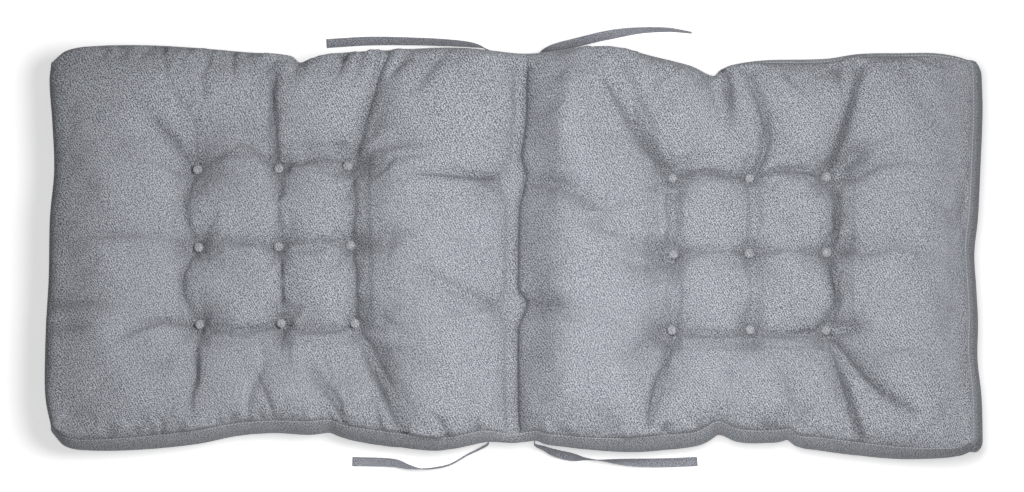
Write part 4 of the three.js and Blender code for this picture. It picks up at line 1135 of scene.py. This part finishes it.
def add_stitches(parts, line, outward):
    """A row of stitches along a line of points, on cloth that faces outward."""
    places = travelled(line)
    middles = (np.arange(int(places[-1] / STITCH["pitch"])) + 0.5) * STITCH["pitch"]
    half = STITCH["length"] / 2

    def at(wanted, values):
        return np.column_stack([np.interp(wanted, places, column) for column in values.T])

    points = stitch_points(at(middles - half, line), at(middles + half, line), at(middles, outward))
    numbers = parts.add_points(points, points[..., :2])
    beside = np.roll(numbers, -1, axis=2)
    parts.faces.extend(faces_between(numbers[:, :-1], beside[:, :-1], beside[:, 1:], numbers[:, 1:]))
    parts.faces.extend(numbers[:, 0, ::-1].tolist())
    parts.faces.extend(numbers[:, -1].tolist())


def closed(ring):
    return np.concatenate([ring, ring[:1]])


def make_seam_stitches(top, u, v):
    """The stitches just below the upper seam and just above the lower one."""
    seam = border(top)
    rings = [seam, *side_band(seam, border(u), border(v))]
    outward = outward_directions(seam)
    outward = closed(np.column_stack([outward, np.zeros(len(outward))]))
    parts = MeshParts()
    share = SEAM_STITCH_DROP / (SEAM_HEIGHT - LOWER_SEAM_HEIGHT) * BAND_ROWS
    add_stitches(parts, closed(lerp(rings[0], rings[1], share)), outward)
    add_stitches(parts, closed(lerp(rings[BAND_ROWS], rings[BAND_ROWS - 1], share)), outward)
    return parts.object("seam_stitches")


# ---- Cloth materials ----
# The yarns of each cloth, as linear colours from dark to light, and how far the painted shade in hollows and
# creases darkens it.
COVER_CLOTH = {
    "yarns": [(0.105, 0.114, 0.134), (0.298, 0.316, 0.350), (0.590, 0.612, 0.655)],
    "painted_shades": {"hollow_shade_depth": 0.26, "crease_shade_depth": 0.50},
}
BUTTON_CLOTH = {"yarns": [(0.14, 0.15, 0.17), (0.335, 0.35, 0.37), (0.58, 0.595, 0.62)], "painted_shades": {}}
TIE_CLOTH = {"yarns": [(0.14, 0.145, 0.172), (0.27, 0.277, 0.315), (0.46, 0.465, 0.51)], "painted_shades": {}}
YARN_STOPS = (0.445, 0.5, 0.555)
YARN_SHINE = 0.25  # how much less rough the lightest yarn is than the darkest
# The weave, in metres: the length and width of its slanted strokes, flecks and ribs, their lie on the cloth
# in degrees, and how much of the pattern they make.
STROKES = {"size": (0.0019, 0.0010), "angle": -56, "detail": 1, "share": 0.51}
FLECKS = {"size": (0.0012, 0.0010), "angle": -26, "detail": 0, "share": 0.41}
RIBS = {"size": (0.0031, 0.0031), "angle": -60, "share": 0.08}
WAVE_SCALE = math.pi / 10  # the wave texture's scale that puts its bands one unit apart
# Uneven dyeing: how large its patches are, how far it lightens and darkens the cloth, and its noise.
UNEVEN = [
    {"size": 0.045, "strength": 0.14, "detail": 2, "roughness": 0.5},
    {"size": 0.006, "strength": 0.32, "detail": 1, "roughness": 0.9},
]
THREAD_TWIST = {"size": (0.0011, 0.0004), "angle": 30, "detail": 1}
THREAD_STOPS = [(0.35, (0.48, 0.495, 0.52)), (0.65, (0.74, 0.755, 0.78))]


class Shader:
    """Short ways to build one material from nodes."""

    def __init__(self, name):
        self.material = bpy.data.materials.new(name)
        self.material.use_nodes = True
        self.tree = self.material.node_tree
        self.surface = self.tree.nodes["Principled BSDF"]

    def feed(self, node, inputs):
        """Sets a node's inputs: each to a fixed value, or to another node's output."""
        for key, value in inputs.items():
            if isinstance(value, bpy.types.NodeSocket):
                self.tree.links.new(value, node.inputs[key])
            else:
                node.inputs[key].default_value = value

    def node(self, kind, inputs, **settings):
        made = self.tree.nodes.new("ShaderNode" + kind)
        for key, value in settings.items():
            setattr(made, key, value)
        self.feed(made, inputs)
        return made

    def math(self, operation, first, second):
        return self.node("Math", {0: first, 1: second}, operation=operation).outputs[0]

    def place_on_cloth(self):
        return self.node("UVMap", {}, uv_map="weave").outputs[0]

    def slanted(self, place, weave):
        """Places on the cloth, turned by a weave's angle and counted in its length and width."""
        return self.node("Mapping", {
            "Vector": place, "Rotation": (0, 0, math.radians(weave["angle"])), "Scale": (*weave["size"], 1),
        }, vector_type="TEXTURE").outputs[0]

    def noise(self, place, scale, detail, roughness):
        return self.node("TexNoise", {
            "Vector": place, "Scale": scale, "Detail": detail, "Roughness": roughness,
        }).outputs["Fac"]

    def slanted_noise(self, place, weave):
        """Noise drawn out into slanted strokes."""
        return self.noise(self.slanted(place, weave), scale=1, detail=weave["detail"], roughness=0.6)

    def ribs(self, place, weave):
        """Wavy parallel ribs at a slant."""
        return self.node("TexWave", {
            "Vector": self.slanted(place, weave), "Scale": WAVE_SCALE, "Distortion": 5, "Detail": 1,
            "Detail Scale": 3,
        }, wave_type="BANDS", bands_direction="Y").outputs["Fac"]

    def ramp(self, value, stops):
        """A colour for each value, blended between stops."""
        made = self.node("ValToRGB", {0: value})
        elements = made.color_ramp.elements
        while len(elements) < len(stops):
            elements.new(0.5)
        for element, (place, colour) in zip(elements, stops):
            element.position = place
            element.color = (*colour, 1)
        return made.outputs[0]

    def bump(self, height, distance):
        """Raises the surface by this distance where the height is 1."""
        raised = self.node("Bump", {"Height": height, "Strength": 0.5, "Distance": distance})
        self.feed(self.surface, {"Normal": raised.outputs[0]})


def yarn_pattern(shader, place):
    """How light the yarn is at each place of a melange twill."""
    strokes = shader.math("MULTIPLY", shader.slanted_noise(place, STROKES), STROKES["share"])
    flecks = shader.math("MULTIPLY", shader.slanted_noise(place, FLECKS), FLECKS["share"])
    ribs = shader.math("MULTIPLY", shader.ribs(place, RIBS), RIBS["share"])
    return shader.math("ADD", shader.math("ADD", strokes, flecks), ribs)


def cloth_level(shader, place, painted_shades):
    """How much light the cloth gives back: it is unevenly dyed, and has painted shade in hollows and
    creases.
    """
    level = 1
    for uneven in UNEVEN:
        patches = shader.noise(place, 1 / uneven["size"], uneven["detail"], uneven["roughness"])
        lighter = shader.math("MULTIPLY", patches, uneven["strength"])
        level = shader.math("MULTIPLY", shader.math("ADD", lighter, 1 - uneven["strength"] / 2), level)
    # Painted shade: the colour is darkened in hollows and creases, by how deep each point lies in them.
    for attribute, shade in painted_shades.items():
        depth = shader.node("Attribute", {}, attribute_name=attribute).outputs["Fac"]
        darker = shader.math("SUBTRACT", 1, shader.math("MULTIPLY", depth, shade))
        level = shader.math("MULTIPLY", level, darker)
    return level


def cloth_material(name, cloth):
    """A matt melange cloth in its own yarns."""
    shader = Shader(name)
    place = shader.place_on_cloth()
    yarn = yarn_pattern(shader, place)
    colour = shader.ramp(yarn, list(zip(YARN_STOPS, cloth["yarns"])))
    level = cloth_level(shader, place, cloth["painted_shades"])
    tint = shader.node("MixRGB", {0: 1, 1: colour, 2: level}, blend_type="MULTIPLY")
    shader.bump(yarn, distance=0.0006)
    shader.feed(shader.surface, {
        "Base Color": tint.outputs[0],
        "Roughness": shader.math("SUBTRACT", 1, shader.math("MULTIPLY", yarn, YARN_SHINE)),
        "Specular IOR Level": 0.25, "Sheen Weight": 0.12, "Sheen Roughness": 0.5,
    })
    return shader.material


def thread_material():
    """Pale matt thread, twisted along each stitch."""
    shader = Shader("stitch_thread")
    twist = shader.slanted_noise(shader.place_on_cloth(), THREAD_TWIST)
    shader.bump(twist, distance=0.0002)
    shader.feed(shader.surface, {"Base Color": shader.ramp(twist, THREAD_STOPS), "Roughness": 0.75})
    return shader.material


# ---- The pieces ----
def stands_for(piece, nodes):
    """Puts a piece in place of CAD nodes: hides them and attaches the piece to the root."""
    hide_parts(*nodes)
    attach(piece, "root")


pattern = np.meshgrid(mesh_stations(U_ZONES, HALF_LENGTH), mesh_stations(V_ZONES, HALF_WIDTH))
top, crease_shade_depth = top_panel(*pattern)

pad = make_pad(*pattern, top, crease_shade_depth)
pad.data.materials.append(cloth_material("cover_twill", COVER_CLOTH))
stands_for(pad, ["pad"])

buttons = make_buttons()
buttons.data.materials.append(cloth_material("button_cloth", BUTTON_CLOTH))
stands_for(buttons, list(TUFTS))

tie_material = cloth_material("tie_tape", TIE_CLOTH)
for tie_name, tie in TIES.items():
    tape = make_tie(tie_name, tie)
    tape.data.materials.append(tie_material)
    length = len(tie_line(tie_name, tie)) * TIE_STEP * MM
    stands_for(tape, [tie_name])

stitches = make_seam_stitches(top, *pattern)
stitches.data.materials.append(thread_material())
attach(stitches, "root")

# ---- Floor, light and camera ----
FLOOR_GLOW = 0.6
FLOOR_Z = -0.5  # just under the flat underside, so the two don't lie in one plane
FLOOR_REACH = 20000
KEY_LIGHT = {"place": (0.25, -0.12, 1.3), "aim": (-0.35, 0, 0), "size": 0.85, "power": 18.3}
WORLD_STRENGTH = 0.13
CAMERA_ELEVATION = 77
CAMERA_AIM = (-3.2, 2.6, 60)  # from the pattern's origin
SEEN_WIDTH = 1.321  # how many metres the frame is wide, at the cushion


def make_floor():
    """A white floor that takes the shadow, brightened where the camera or a shine sees it."""
    corners = [(-1, -1), (1, -1), (1, 1), (-1, 1)]
    points = [(x * FLOOR_REACH, y * FLOOR_REACH, FLOOR_Z) for x, y in corners]
    floor = mesh_object("floor", points, [(0, 1, 2, 3)])
    shader = Shader("floor")
    rays = shader.node("LightPath", {}).outputs
    seen = shader.math("MAXIMUM", rays["Is Camera Ray"], rays["Is Glossy Ray"])
    seen = shader.math("MAXIMUM", seen, rays["Is Transmission Ray"])
    shader.feed(shader.surface, {
        "Base Color": (0.8, 0.8, 0.8, 1), "Roughness": 0.9, "Specular IOR Level": 0,
        "Emission Color": (1, 1, 1, 1), "Emission Strength": shader.math("MULTIPLY", seen, FLOOR_GLOW),
    })
    floor.data.materials.append(shader.material)


def aim(thing, place, direction):
    """Puts a light or a camera at a place, looking in a direction."""
    thing.location = place
    thing.rotation_mode = "QUATERNION"
    thing.rotation_quaternion = direction.to_track_quat("-Z", "Y")


def make_light():
    """One large soft lamp from above, and a faint white world."""
    lamp = bpy.data.lights.new("key", "AREA")
    lamp.shape = "DISK"
    lamp.size = KEY_LIGHT["size"]
    lamp.energy = KEY_LIGHT["power"]
    aim(new_object("key", lamp), KEY_LIGHT["place"], Vector(KEY_LIGHT["aim"]) - Vector(KEY_LIGHT["place"]))
    world = bpy.data.worlds.new("world")
    world.use_nodes = True
    background = world.node_tree.nodes["Background"].inputs
    background["Color"].default_value = (1, 1, 1, 1)
    background["Strength"].default_value = WORLD_STRENGTH
    bpy.context.scene.world = world


def make_camera():
    """The photograph's view: from the near side, steeply down, through a very long lens."""
    camera = new_object("camera", bpy.data.cameras.new("camera"))
    camera.data.lens = 500
    camera.data.sensor_width = 36
    camera.data.clip_start = 0.5
    camera.data.clip_end = 100
    elevation = math.radians(CAMERA_ELEVATION)
    back = Vector((0, -math.cos(elevation), math.sin(elevation)))
    target = Vector([(middle + off) * MM for middle, off in zip((*ORIGIN, 0), CAMERA_AIM)])
    distance = SEEN_WIDTH * camera.data.lens / camera.data.sensor_width
    aim(camera, target + back * distance, -back)
    bpy.context.scene.camera = camera


make_floor()
make_light()
make_camera()
bpy.context.scene.view_settings.view_transform = "Standard"
